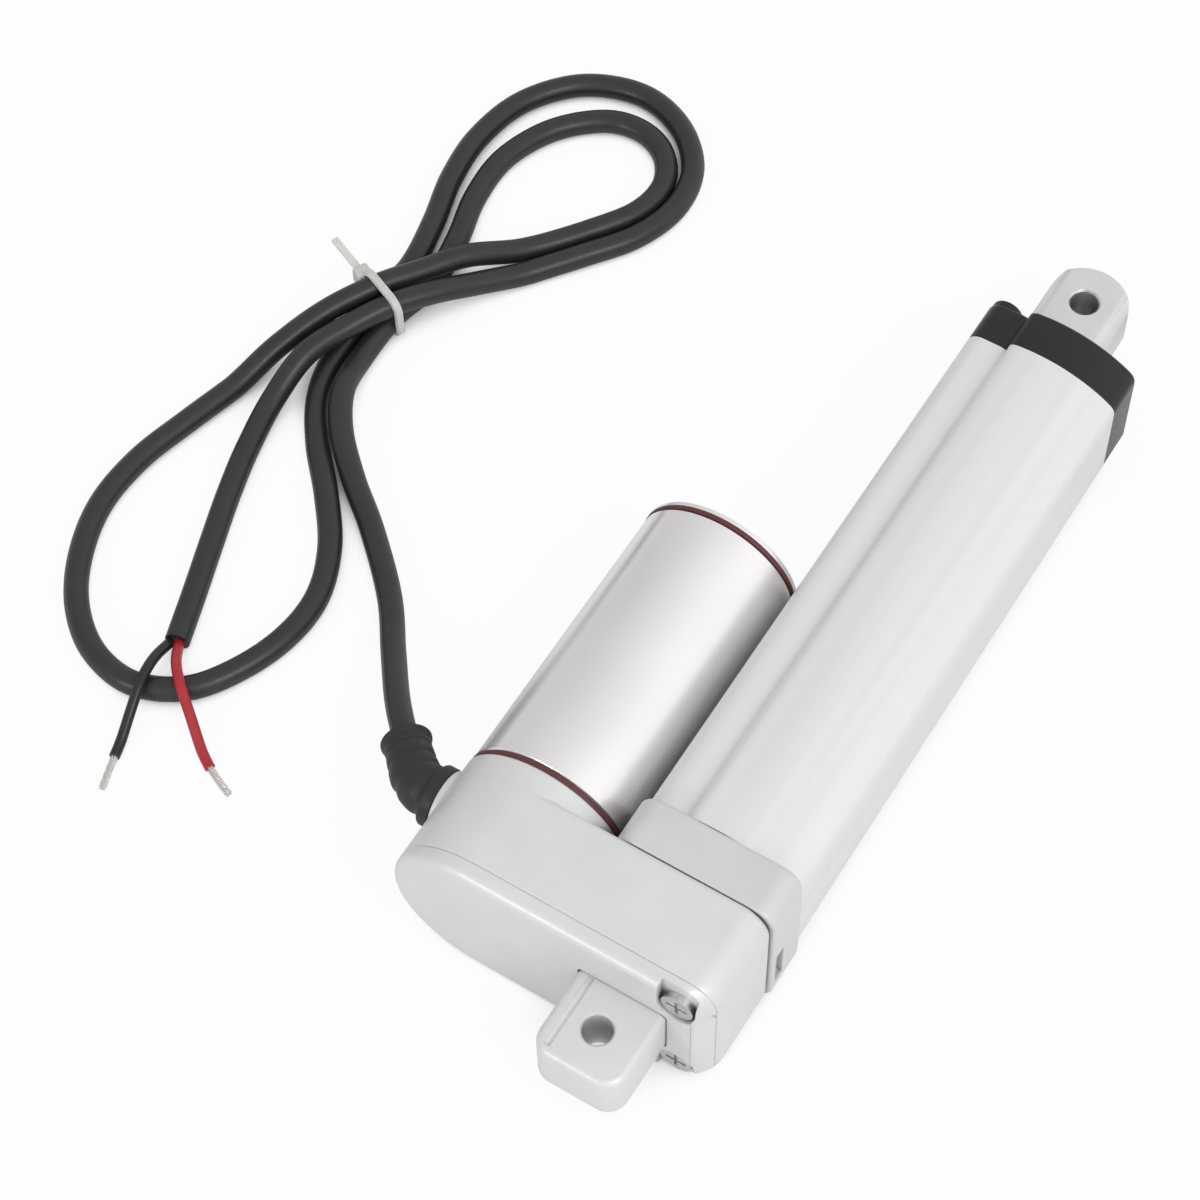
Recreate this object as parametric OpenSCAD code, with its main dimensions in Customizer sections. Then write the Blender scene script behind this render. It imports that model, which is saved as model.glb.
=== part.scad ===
/* [Travel and mounting] */
// Travel of the rod from fully in to fully out
stroke = 100; // [40:1:100]
// Diameter of the mounting hole in the tail lug and in the rod end
eye_d = 6.4; // [5:0.1:8]
// Width of the tail lug across the mounting hole
lug_w = 20; // [18:0.5:20]
// Thickness of the tail lug and of the flats on the rod end
eye_t = 14; // [10:0.5:14]
// Diameter of the rod
rod_d = 20; // [19:0.5:20]

/* [Gearbox] */
// Half thickness of the gearbox, which is also its height over the floor
gear_r = 18.8; // [18.8:0.1:20]
// Wall of the gearbox castings
wall = 2.8; // [2:0.1:2.8]
// Distance from the rod's axis to the motor's axis
motor_offset = 36; // [36:0.05:36.05]
// Right side of the castings, measured from the rod's axis
body_right = 20.4; // [20:0.1:22]
// Corner radius of the gearbox on the rod's side
corner_r = 6.5; // [5:0.5:7]
// Radius of the gearbox's back corner, seen from above
plan_r = 7; // [3:0.5:7]

/* [Motor] */
// Radius of the motor can
motor_r = 18.5; // [18:0.1:18.5]
// Length of the motor can
motor_l = 68; // [68:1:80]

/* [Outer tube] */
// Radius of the tube's bore
bore_r = 14; // [14:0.1:14.2]
// Wall of the tube beside the switch channel
channel_wall = 2.1; // [1.8:0.1:2.3]
// Length of the black front cap
cap_l = 9; // [8:0.5:12]

/* [Cord] */
// Diameter of the power cord
cord_d = 5.6; // [5:0.1:5.6]
// Diameter of each insulated lead
lead_d = 2.4; // [2:0.1:2.4]

/* [Hidden] */
$fn = 48;

// Places along the rod's axis (+Y), from the tail hole at 0
eye_r = eye_d / 2;
rod_r = rod_d / 2;
lug_rear = -9.8;
cover_rear = 9;
cover_front = 13;
flange_front = 16.3;
gear_y0 = 17.2;
gear_y1 = 23.2;
idler_y0 = 23.9;
idler_y1 = 27.9;
head_y = 28.4;
bulkhead_y0 = 30;
bulkhead_y1 = 33;
bearing_y0 = 29.5;
bearing_y1 = 36.5;
neck_y1 = 37.5;
can_y0 = 38.6;
can_y1 = can_y0 + motor_l;
collar_y1 = 44.5;
spigot_y1 = 49.5;
nut_y0 = 52;
nut_y1 = 66;
tube_y1 = nut_y1 + stroke + 13.5;
cap_y1 = tube_y1 + cap_l;
eye_y = stroke + 105;
screw_y1 = tube_y1 - 9.5;

// Places across the rod's axis
motor_x = -motor_offset;
tube_left = -16;
tube_right = 20;
tube_half_h = 17.8;
arch_r = 33.3;
edge_r = 3;
edge_x = tube_right - edge_r;
edge_z = tube_half_h - arch_r + sqrt((arch_r - edge_r) ^ 2 - edge_x ^ 2);
edge_turn = atan2(edge_z + arch_r - tube_half_h, edge_x);
channel_x1 = tube_right - channel_wall;
screw_spots = [[-12.2, 10.5], [-12.2, -10.5], [13.8, 11], [13.8, -11]];
cover_spots = [[12, 12.4], [12, -12.4]];
pocket_r = 4.1;
pocket_y1 = 11.2;
lug_spots = [for (x = [-5.5, 5.5], z = [-11.5, 11.5]) [x, z]];
cap_pad = 1.5;
shank_r = 1.5;
floor_z = -gear_r;

// Gear train: motor pinion to idler, idler to the gear on the screw
pinion_z = 12;
idler_big_z = 34;
idler_small_z = 13;
output_z = 37;
fine_m = 0.7;
coarse_m = 0.8;
dist_in = fine_m * (pinion_z + idler_big_z) / 2;
dist_out = coarse_m * (idler_small_z + output_z) / 2;
idler_x = motor_x + (dist_in ^ 2 - dist_out ^ 2 + motor_offset ^ 2) / (2 * motor_offset);
idler_h = sqrt(dist_out ^ 2 - idler_x ^ 2);
angle_in = atan2(idler_h, idler_x - motor_x);
angle_out = atan2(-idler_h, -idler_x);

// Route of the cord's centre line: from the strain relief, down to the floor, and
// looped up and down through the cable tie to the stripped end
cord_z = floor_z + cord_d / 2;
tie_low = cord_z + 1.1;
tie_high = tie_low + cord_d + 0.2;
cord_start = [-71, 38.5, -3];
cord_feed = [cord_start, [-79, 47, -6.5], [-88.5, 59, -12.5], [-98.5, 72, cord_z],
    [-111.5, 84.5, cord_z], [-122, 93, cord_z], [-131, 101.5, -13.6], [-136.4, 110.3, -12.2],
    [-139.2, 121, -15], [-139.4, 134.7, tie_low]];
cord_inner = [[-137.5, 148, cord_z], [-139.5, 162, cord_z], [-142.8, 175, cord_z], [-143.2, 188.5, cord_z],
    [-138, 201.5, cord_z], [-128.5, 210.5, cord_z], [-119, 212.3, cord_z], [-111, 208.5, cord_z],
    [-106.5, 200.5, cord_z], [-107.8, 190.5, cord_z], [-115.2, 179, cord_z], [-124.3, 167, -15.2],
    [-132.8, 156, -11], [-139, 146, -9.8], [-144.9, 136.8, tie_high]];
cord_big = [[-151.5, 125.5, -10.5], [-156.8, 113, -13.5], [-160, 100, cord_z], [-163.5, 87, cord_z],
    [-166.8, 73, cord_z], [-167, 59, cord_z], [-163, 46, cord_z], [-156, 35, cord_z],
    [-146, 27.3, cord_z], [-134, 25, cord_z], [-123, 30, cord_z], [-116, 40, cord_z],
    [-112, 52, cord_z], [-112, 64, cord_z], [-117, 76, cord_z], [-125.5, 87, cord_z],
    [-135, 97.5, cord_z], [-142.2, 108.5, cord_z], [-145.2, 120.5, cord_z], [-145.1, 136.5, tie_low]];
cord_outer = [[-144.6, 150, cord_z], [-147, 163, cord_z], [-150.8, 177, cord_z], [-152, 191, cord_z],
    [-148.7, 205.5, cord_z], [-139, 217.3, cord_z], [-125, 222, cord_z], [-112, 218, cord_z],
    [-103, 208.5, cord_z], [-100.6, 196.5, cord_z], [-104, 184.5, cord_z], [-111.7, 173.5, cord_z],
    [-120, 162.5, cord_z], [-127.5, 152, -13.4], [-133.4, 142.8, -10.4], [-139.1, 133.8, tie_high]];
cord_end = [[-144.2, 124.5, -9.8], [-148.5, 113.5, -10.6], [-149.6, 101.5, -14.4], [-147.8, 89, cord_z],
    [-144.2, 76, cord_z], [-140, 63.5, cord_z], [-135.5, 50.5, cord_z], [-131.5, 38.5, cord_z]];
cord_route = concat(cord_feed, cord_inner, cord_big, cord_outer, cord_end);
lead_z = floor_z + lead_d / 2;
black_route = [[-132.6, 37.6, -15.8], [-132, 31.5, -13], [-130.6, 25.3, -11.6], [-129.2, 19, -13.9],
    [-128, 13, -17.2], [-127, 9, lead_z]];
red_route = [[-130.8, 38.2, -15.8], [-127.2, 32.8, -12.8], [-122.6, 28.2, -11.6], [-117, 23.8, -14.2],
    [-111.6, 19.6, -17.3], [-108, 17.4, lead_z]];
tip_r = 0.8;
black_tip = [[-127, 9, lead_z], [-126, 5.5, lead_z - 0.2], [-124.8, 1.5, lead_z - 0.4]];
red_tip = [[-108, 17.4, lead_z], [-104.6, 15.8, lead_z - 0.2], [-101, 14.4, lead_z - 0.4]];

// Strain relief: it leaves the gearbox along -X and turns towards the cord
relief_y = 29.5;
relief_in = -51.6;
relief_seat = -55.2;
relief_out = -58.2;
relief_route = [[-57.5, relief_y, 0], [-60.5, 29.9, -0.2], [-63.2, 31.2, -0.6], [-65.4, 33.1, -1.3], cord_start];
relief_radii = [5.8, 5.8, 5.7, 5.4, 4.9];

// Cable tie: it stands square to the bundle
tie_centre = [-142.1, 135.5, (tie_low + tie_high) / 2];
tie_turn = -23.5;
tie_w = 3;
tie_t = 1;
tie_in_h = cord_d + 0.15;
tie_in_w = cord_d + 0.8;

// A round bar along +Y
module bar(r, y0, y1, x = 0, z = 0) {
    translate([x, y0, z]) rotate([-90, 0, 0]) cylinder(r = r, h = y1 - y0);
}

// A tube along +Y
module ring(r_out, r_in, y0, y1, x = 0, z = 0) {
    difference() {
        bar(r_out, y0, y1, x, z);
        bar(r_in, y0 - 1, y1 + 1, x, z);
    }
}

// A flat outline drawn in X and Z, carried from y0 to y1
module carry(y0, y1) {
    translate([0, y1, 0]) rotate([90, 0, 0]) linear_extrude(y1 - y0) children();
}

// Box between two corners
module block(low, high) {
    translate(low) cube(high - low);
}

// Rectangle with round corners, from x0 to x1 and from -h to h
module round_rect(x0, x1, h, r) {
    translate([x0 + r, -h]) square([x1 - x0 - 2 * r, 2 * h]);
    translate([x0, r - h]) square([x1 - x0, 2 * (h - r)]);
    for (x = [x0 + r, x1 - r], z = [r - h, h - r]) translate([x, z]) circle(r);
}

// Outline of the gearbox: round about the motor, squarer on the rod's side
module gear_outline(inset = 0) {
    translate([motor_x, 0]) circle(gear_r - inset);
    translate([motor_x, inset - gear_r]) square([motor_offset, 2 * (gear_r - inset)]);
    round_rect(-12, body_right - inset, gear_r - inset, corner_r - inset);
}

// What the round back corner takes off the gearbox on the rod's side
module back_corner() {
    x = body_right - plan_r;
    difference() {
        block([x, cover_rear - 1, -gear_r - 1], [body_right + 1, cover_rear + plan_r, gear_r + 1]);
        translate([x, cover_rear + plan_r, -gear_r - 2]) cylinder(r = plan_r, h = 2 * gear_r + 4);
    }
}

// What the round edge takes off the tube where its arched face (top for side 1) meets its right side
module round_off(side) {
    reach = 2 * edge_r;
    scale([1, side]) difference() {
        polygon([[edge_x, edge_z], [edge_x + reach, edge_z], [edge_x + reach, edge_z + reach],
            [edge_x + reach * cos(edge_turn), edge_z + reach * sin(edge_turn)]]);
        translate([edge_x, edge_z]) circle(edge_r);
    }
}

// Outline of the outer tube: a main body with an arched top and bottom, and a lower rib
// with a groove beside it on the motor's side
module tube_outline() {
    rib_r = 3.5;
    difference() {
        union() {
            intersection() {
                translate([0, tube_half_h - arch_r]) circle(arch_r);
                translate([0, arch_r - tube_half_h]) circle(arch_r);
                translate([-6.5, -gear_r]) square([tube_right + 6.5, 2 * gear_r]);
            }
            round_rect(tube_left, 0, 14.4, rib_r);
        }
        for (side = [-1, 1]) round_off(side);
        for (z = [-1, 1]) translate([-6.4, z * 15.6]) rotate(45) square(2.2, center = true);
    }
}

// Screws: a round head with a cross recess at the -Y end, and a plain shank
module long_screw(x, z, head_r, y0, y1, y2) {
    difference() {
        union() {
            bar(head_r, y0, y1, x, z);
            bar(shank_r, y1, y2, x, z);
        }
        for (turn = [0, 90]) translate([x, y0, z]) rotate([0, turn, 0])
            cube([head_r * 1.3, 1.4, 0.7], center = true);
    }
}

function inv(a) = tan(a) * 180 / PI - a;

// Spur gear outline with involute flanks at 20 degrees and a little backlash
module gear_2d(z, m) {
    rp = m * z / 2;
    rb = rp * cos(20);
    rf = rp - 1.25 * m;
    ra = rp + m;
    half = 90 / z - 0.05 / rp * 180 / PI;
    low = max(rb, rf);
    function spread(r) = half + inv(20) - inv(acos(rb / r));
    steps = [for (i = [0:4]) low + (ra - low) * i / 4];
    function at(r, a) = [r * cos(a), r * sin(a)];
    polygon([for (t = [0:z - 1]) each concat(
        [at(rf, 360 * t / z - spread(low + 0.001))],
        [for (r = steps) at(r, 360 * t / z - spread(r + 0.001))],
        [for (i = [4:-1:0]) at(steps[i], 360 * t / z + spread(steps[i] + 0.001))],
        [at(rf, 360 * t / z + spread(low + 0.001))])]);
}

function unit(v) = v / norm(v);

// Tube swept along a route of points, one ring of corners square to the route at each point
module sweep(route, radii, sides) {
    last = len(route) - 1;
    function ahead(i) = unit(route[min(i + 1, last)] - route[max(i - 1, 0)]);
    function level(i) = unit(cross(ahead(i), [0, 0, 1]));
    function corner(i, a) = route[i] + radii[i] * (cos(a) * level(i) + sin(a) * cross(level(i), ahead(i)));
    points = [for (i = [0:last], k = [0:sides - 1]) corner(i, 90 + 360 * k / sides)];
    walls = [for (i = [0:last - 1], k = [0:sides - 1])
        [i * sides + k, i * sides + (k + 1) % sides, (i + 1) * sides + (k + 1) % sides, (i + 1) * sides + k]];
    start_face = [for (k = [sides - 1:-1:0]) k];
    end_face = [for (k = [0:sides - 1]) last * sides + k];
    polyhedron(points, concat(walls, [start_face], [end_face]));
}

module cord_sweep(route, d, sides) {
    sweep(route, [for (p = route) d / 2], sides);
}

// ---- Tail and gearbox ----

module tail_lug() {
    r = 4;
    color("silver") difference() {
        union() {
            translate([0, 0, -eye_t / 2]) linear_extrude(eye_t) {
                translate([-lug_w / 2, lug_rear + r]) square([lug_w, cover_front - lug_rear - r]);
                translate([r - lug_w / 2, lug_rear]) square([lug_w - 2 * r, r + 1]);
                for (x = [r - lug_w / 2, lug_w / 2 - r]) translate([x, lug_rear + r]) circle(r);
            }
            block([-9.8, cover_front, -15.5], [9.8, flange_front, 15.5]);
        }
        translate([0, 0, -gear_r]) cylinder(r = eye_r, h = 2 * gear_r);
        bar(5, 12, flange_front + 1);
        for (p = lug_spots) {
            bar(shank_r, cover_front - 1, flange_front + 1, p.x, p.y);
            bar(2.6, 14.8, flange_front + 1, p.x, p.y);
        }
    }
}

module lug_screws() {
    color("dimgray") for (p = lug_spots) {
        bar(shank_r, 10.5, 14.8, p.x, p.y);
        bar(2.6, 14.8, flange_front, p.x, p.y);
    }
}

module rear_cover() {
    step = 0.9;
    color("lightgray") difference() {
        union() {
            carry(cover_rear, cover_rear + step) gear_outline(step);
            carry(cover_rear + step, cover_front) gear_outline();
            difference() {
                bar(gear_r - wall - 0.1, cover_front, cover_front + 2, motor_x);
                bar(gear_r - wall - 1.6, cover_front - 1, cover_front + 3, motor_x);
                block([motor_x, cover_front - 1, -gear_r], [motor_x + 30, cover_front + 3, gear_r]);
            }
        }
        block([-lug_w / 2 - 0.05, 0, -eye_t / 2 - 0.05], [lug_w / 2 + 0.05, cover_front + 1, eye_t / 2 + 0.05]);
        for (p = cover_spots) {
            edge = sign(p.y) * 20;
            bar(pocket_r, 0, pocket_y1, p.x, p.y);
            block([p.x - pocket_r, 0, min(p.y, edge)], [p.x + pocket_r, pocket_y1, max(p.y, edge)]);
            bar(shank_r, pocket_y1 - 1, cover_front + 1, p.x, p.y);
        }
        for (p = lug_spots) bar(shank_r, 10.5, cover_front + 1, p.x, p.y);
        bar(2, 11, cover_front + 1, idler_x, idler_h);
        back_corner();
    }
}

module cover_screws() {
    color("gainsboro") for (p = cover_spots) long_screw(p.x, p.y, 3.6, 9.6, pocket_y1, 16.5);
}

module gear_housing() {
    color("lightgray") difference() {
        union() {
            carry(cover_front, bulkhead_y1) gear_outline();
            bar(gear_r, bulkhead_y1 - 1, neck_y1, motor_x);
            translate([-50, relief_y, 0]) rotate([0, -90, 0]) cylinder(r = 6.8, h = -50 - relief_seat);
        }
        difference() {
            carry(cover_front - 1, bulkhead_y0) gear_outline(wall);
            bar(13, head_y + 0.2, bulkhead_y1);
            for (p = cover_spots) bar(4.2, cover_front - 1, flange_front + 0.5, p.x + 2.3, p.y + sign(p.y));
        }
        bar(11, bearing_y0, bulkhead_y1 + 1);
        bar(9, head_y, bulkhead_y1 + 1);
        bar(6, bulkhead_y0 - 1, bulkhead_y1 + 1, motor_x);
        bar(15.3, bulkhead_y1, neck_y1 + 1, motor_x);
        bar(2, bulkhead_y0 - 1, bulkhead_y1 + 1, idler_x, idler_h);
        translate([-40, relief_y, 0]) rotate([0, -90, 0]) cylinder(r = 4, h = 20);
        for (p = screw_spots) bar(shank_r, bulkhead_y0 - 1, bulkhead_y1 + 1, p.x, p.y);
        for (p = cover_spots) bar(shank_r, cover_front - 1, flange_front + 0.2, p.x, p.y);
        for (z = [-7, 7]) bar(shank_r, bulkhead_y0 - 1, bulkhead_y1 + 1, motor_x - 9, z);
        back_corner();
    }
}

module rear_bush() {
    color("peru") ring(5, 3.05, 13, flange_front);
}

module lead_screw() {
    color("slategray") difference() {
        union() {
            bar(3, 12.6, 16.6);
            bar(4, 16.6, bearing_y1 + 0.1);
            bar(5, bearing_y1 + 0.1, screw_y1 - 1);
            bar(4.2, screw_y1 - 1, screw_y1);
        }
        translate([-10, 25.5, 0]) rotate([0, 90, 0]) cylinder(r = 1, h = 20);
    }
}

module screw_locknut() {
    color("dimgray") ring(5.8, 4, 28, bearing_y0);
}

module output_gear() {
    color("wheat") difference() {
        union() {
            carry(gear_y0, gear_y1) rotate(angle_out + 180 + 180 / output_z) gear_2d(output_z, coarse_m);
            bar(6.5, gear_y1 - 1, 27.6);
        }
        bar(4, gear_y0 - 1, 28);
        translate([-10, 25.5, 0]) rotate([0, 90, 0]) cylinder(r = 1, h = 20);
        for (a = [0:60:300]) bar(2.2, gear_y0 - 1, gear_y1 + 1, 10 * cos(a), 10 * sin(a));
    }
}

module gear_pin() {
    color("gray") translate([-6.4, 25.5, 0]) rotate([0, 90, 0]) cylinder(r = 1, h = 12.8);
}

module idler_gear() {
    color("wheat") difference() {
        translate([idler_x, 0, idler_h]) {
            carry(17, idler_y0) rotate(angle_out) gear_2d(idler_small_z, coarse_m);
            carry(idler_y0, idler_y1) rotate(angle_in + 180 + 180 / idler_big_z) gear_2d(idler_big_z, fine_m);
        }
        bar(2.05, 10, 40, idler_x, idler_h);
    }
}

module idler_shaft() {
    color("gray") bar(2, 11, bulkhead_y1, idler_x, idler_h);
}

// ---- Motor ----

module motor_pinion() {
    color("goldenrod") difference() {
        translate([motor_x, 0, 0]) carry(23.5, 28.4) rotate(angle_in) gear_2d(pinion_z, fine_m);
        bar(1.6, 20, 30, motor_x);
    }
}

module motor_shaft() {
    color("gray") bar(1.6, 22.5, can_y1 - 1, motor_x);
}

module armature_core() {
    color("dimgray") difference() {
        bar(11.5, 52, 84, motor_x);
        bar(1.6, 50, 90, motor_x);
        for (a = [0:72:288]) translate([motor_x, 0, 0]) rotate([0, a, 0])
            block([7, 51, -0.8], [12, 85, 0.8]);
    }
}

module windings() {
    color("chocolate") for (y = [46, 84]) ring(10.4, 3, y, y + 6, motor_x);
}

module commutator() {
    color("peru") difference() {
        ring(5, 1.6, 91, 99, motor_x);
        for (a = [0:72:288]) translate([motor_x, 0, 0]) rotate([0, a + 36, 0])
            block([4.3, 92, -0.15], [6, 100, 0.15]);
    }
}

module motor_front_plate() {
    color("silver") difference() {
        union() {
            bar(15.3, bulkhead_y1, can_y0, motor_x);
            bar(motor_r - 1.2, can_y0, can_y0 + 2, motor_x);
        }
        bar(4, bulkhead_y1 - 1, can_y0 + 3, motor_x);
        for (z = [-7, 7]) bar(shank_r, bulkhead_y1 - 1, 37, motor_x - 9, z);
    }
}

module motor_screws() {
    color("dimgray") for (z = [-7, 7]) long_screw(motor_x - 9, z, 2.7, head_y, bulkhead_y0, 37);
}

module front_bush_bearing() {
    color("peru") ring(4, 1.65, bulkhead_y1 + 1, can_y0 + 2, motor_x);
}

module seam_gasket() {
    color("brown") ring(motor_r + 0.2, 15.3, neck_y1, can_y0, motor_x);
}

module motor_can() {
    color("gainsboro") ring(motor_r, motor_r - 1.2, can_y0, can_y1, motor_x);
}

module magnets() {
    color("darkslategray") difference() {
        ring(motor_r - 1.2, 12.2, 50, 86, motor_x);
        block([motor_x - 20, 49, -4], [motor_x + 20, 87, 4]);
    }
}

module brush_holder() {
    color("saddlebrown") difference() {
        union() {
            ring(motor_r - 1.2, 5.6, 99.4, 101.4, motor_x);
            for (s = [-1, 1]) block([motor_x + s * 11.2 - 4.6, 92, -3], [motor_x + s * 11.2 + 4.6, 99.4, 3]);
        }
        for (s = [-1, 1]) block([motor_x + s * 10.2 - 4, 93, -1.9], [motor_x + s * 10.2 + 4, 97.2, 1.9]);
    }
}

module brushes() {
    color("black") for (s = [-1, 1])
        block([motor_x + s * 7.1 - 2, 93.2, -1.8], [motor_x + s * 7.1 + 2, 97, 1.8]);
}

module brush_springs() {
    color("gray") for (s = [-1, 1]) translate([motor_x + s * 9.2, 95.1, 0]) rotate([0, s * 90, 0]) difference() {
        cylinder(r = 1.3, h = 4.9);
        translate([0, 0, -1]) cylinder(r = 0.8, h = 7);
    }
}

module rear_bush_bearing() {
    color("peru") ring(4, 1.65, can_y1 - 4, can_y1 - 1, motor_x);
}

module end_gasket() {
    color("brown") ring(motor_r + 0.2, motor_r - 1.2, can_y1, can_y1 + 1, motor_x);
}

module motor_end_cap() {
    color("gainsboro") difference() {
        union() {
            bar(motor_r - 1.2, can_y1 - 2, can_y1 + 1, motor_x);
            bar(motor_r, can_y1 + 1, can_y1 + 2.2, motor_x);
            bar(5.5, can_y1 - 4, can_y1 - 1, motor_x);
        }
        bar(4, can_y1 - 5, can_y1 - 1, motor_x);
    }
}

// ---- Screw bearing and tube ----

module bearing_outer_race() {
    color("gray") ring(11, 9.25, bearing_y0, bearing_y1);
}

module bearing_inner_race() {
    color("gray") ring(6, 4, bearing_y0, bearing_y1);
}

module bearing_balls() {
    color("silver") for (a = [0:45:315]) translate([7.62 * cos(a), (bearing_y0 + bearing_y1) / 2, 7.62 * sin(a)])
        sphere(1.58);
}

module tube_collar() {
    color("darkgray") difference() {
        union() {
            carry(bulkhead_y1, collar_y1) round_rect(tube_left - 0.6, body_right, 18.3, 5);
            bar(bore_r - 0.1, collar_y1, spigot_y1);
        }
        bar(11, bulkhead_y1 - 1, bearing_y1);
        bar(9, bearing_y1 - 1, spigot_y1 + 1);
        for (p = screw_spots) bar(shank_r, bulkhead_y1 - 1, collar_y1 + 1, p.x, p.y);
        bar(1.4, bulkhead_y1 - 1, collar_y1 + 1, 16, 0);
        block([body_right - 1.2, 34.3, -11.5], [body_right + 1, 37.2, -0.5]);
        ring(bore_r + 1, bore_r - 1.6, 46.2, 47.8);
    }
}

module collar_screws() {
    color("dimgray") for (p = screw_spots) long_screw(p.x, p.y, 2.7, head_y, bulkhead_y0, 54);
}

module tube_o_ring() {
    color("black") translate([0, 47, 0]) rotate([-90, 0, 0]) rotate_extrude()
        translate([bore_r - 0.8, 0]) circle(0.75, $fn = 24);
}

module outer_tube() {
    color("whitesmoke") difference() {
        carry(collar_y1, tube_y1) tube_outline();
        bar(bore_r, collar_y1 - 1, tube_y1 + 1);
        block([10, collar_y1 - 1, -5.2], [channel_x1, tube_y1 + 1, 5.2]);
        for (p = screw_spots) {
            bar(shank_r, collar_y1 - 1, 54, p.x, p.y);
            bar(shank_r, tube_y1 - 8, tube_y1 + 1, p.x, p.y);
        }
    }
}

module switch_strip() {
    color("darkgreen") block([channel_x1 - 0.8, collar_y1 + 0.5, -4.8], [channel_x1 - 0.05, tube_y1 - 0.5, 4.8]);
}

module limit_switches() {
    x0 = 14.4;
    x1 = channel_x1 - 0.8;
    front = nut_y1 + stroke + 1.6;
    color("black") {
        block([x0, collar_y1 + 0.5, -3.2], [x1, 51, 3.2]);
        bar(0.8, 51, 51.6, 15.7);
        block([x0, front, -3.2], [x1, front + 6, 3.2]);
        bar(0.8, front - 0.6, front, 15.7);
    }
}

module switch_diodes() {
    color("darkred") for (z = [-2, 2]) bar(0.9, tube_y1 - 5, tube_y1 - 1, channel_x1 - 1.7, z);
}

// Where the cap's face is round a screw: a pad stands out round the two on the motor's side
function cap_face(p) = cap_y1 + (p.x < 0 ? cap_pad : 0);

module front_cap() {
    color([0.12, 0.12, 0.12]) difference() {
        union() {
            carry(tube_y1, cap_y1) tube_outline();
            intersection() {
                carry(cap_y1 - 1, cap_y1 + cap_pad) tube_outline();
                for (p = screw_spots) if (p.x < 0) bar(4.2, cap_y1 - 2, cap_y1 + cap_pad + 1, p.x, p.y);
            }
        }
        bar(rod_r + 0.3, tube_y1 - 1, cap_y1);
        bar(13, cap_y1 - 3.5, cap_y1 + cap_pad + 1);
        for (p = screw_spots) {
            bar(shank_r, tube_y1 - 1, cap_y1 + cap_pad + 1, p.x, p.y);
            bar(2.6, cap_face(p) - 1.6, cap_y1 + cap_pad + 1, p.x, p.y);
        }
    }
}

module cap_screws() {
    color("dimgray") for (p = screw_spots) difference() {
        union() {
            bar(shank_r, tube_y1 - 7.5, cap_face(p) - 1.6, p.x, p.y);
            bar(2.5, cap_face(p) - 1.6, cap_face(p) - 0.1, p.x, p.y);
        }
        for (turn = [45, 135]) translate([p.x, cap_face(p), p.y]) rotate([0, turn, 0])
            cube([3, 1.6, 0.6], center = true);
    }
}

module wiper_seal() {
    color("black") union() {
        ring(13, rod_r + 0.05, cap_y1 - 3.5, cap_y1 - 0.3);
        ring(rod_r + 1.2, rod_r + 0.05, cap_y1 - 0.3, cap_y1 + 0.5);
    }
}

module rod_guide() {
    color("ivory") ring(bore_r, rod_r + 0.05, tube_y1 - 12.3, tube_y1);
}

// ---- Rod ----

module drive_nut() {
    color("ivory") difference() {
        union() {
            bar(bore_r - 0.3, nut_y0, nut_y1);
            bar(7.5, nut_y1 - 1, nut_y1 + 10);
            block([8, nut_y0, -4.6], [channel_x1 - 1.1, nut_y1, 4.6]);
        }
        bar(5.08, nut_y0 - 1, nut_y1 + 11);
    }
}

module rod_tube() {
    color("silver") ring(rod_r, 7.5, nut_y1, eye_y - 16);
}

module rod_end() {
    color("silver") difference() {
        union() {
            bar(7.5, eye_y - 24, eye_y - 16);
            bar(rod_r, eye_y - 16, eye_y - 12);
            intersection() {
                bar(rod_r, eye_y - 12.5, eye_y + rod_r);
                union() {
                    block([-rod_r, eye_y - 12.5, -eye_t / 2], [rod_r, eye_y, eye_t / 2]);
                    translate([0, eye_y, -eye_t / 2]) cylinder(r = rod_r, h = eye_t);
                }
            }
        }
        translate([0, eye_y, -gear_r]) cylinder(r = eye_r, h = 2 * gear_r);
    }
}

// ---- Cord ----

module strain_relief() {
    color([0.15, 0.15, 0.15]) {
        translate([relief_in, relief_y, 0]) rotate([0, -90, 0]) cylinder(r = 4, h = 5.5);
        translate([relief_seat, relief_y, 0]) rotate([0, -90, 0]) cylinder(r = 6.9, h = relief_seat - relief_out);
        sweep(relief_route, relief_radii, 12);
    }
}

module power_cord() {
    color([0.16, 0.16, 0.16]) cord_sweep(cord_route, cord_d, 8);
}

module cable_tie() {
    side = -tie_in_w - tie_t;
    color("white") translate(tie_centre) rotate([0, 0, tie_turn]) {
        difference() {
            carry(-tie_w / 2, tie_w / 2) round_rect(side, -side, tie_in_h + tie_t, 3.5);
            carry(-tie_w, tie_w) round_rect(-tie_in_w, tie_in_w, tie_in_h, 2.6);
        }
        block([side - 4, -2.4, -2], [side + 0.2, 2.4, 3.5]);
        block([side - 16, -tie_w / 2, 1], [side - 4, tie_w / 2, 2]);
    }
}

module black_lead() {
    color("black") cord_sweep(black_route, lead_d, 8);
}

module red_lead() {
    color("firebrick") cord_sweep(red_route, lead_d, 8);
}

module lead_tips() {
    color("silver") {
        sweep(black_tip, [for (p = black_tip) tip_r], 8);
        sweep(red_tip, [for (p = red_tip) tip_r], 8);
    }
}

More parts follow.
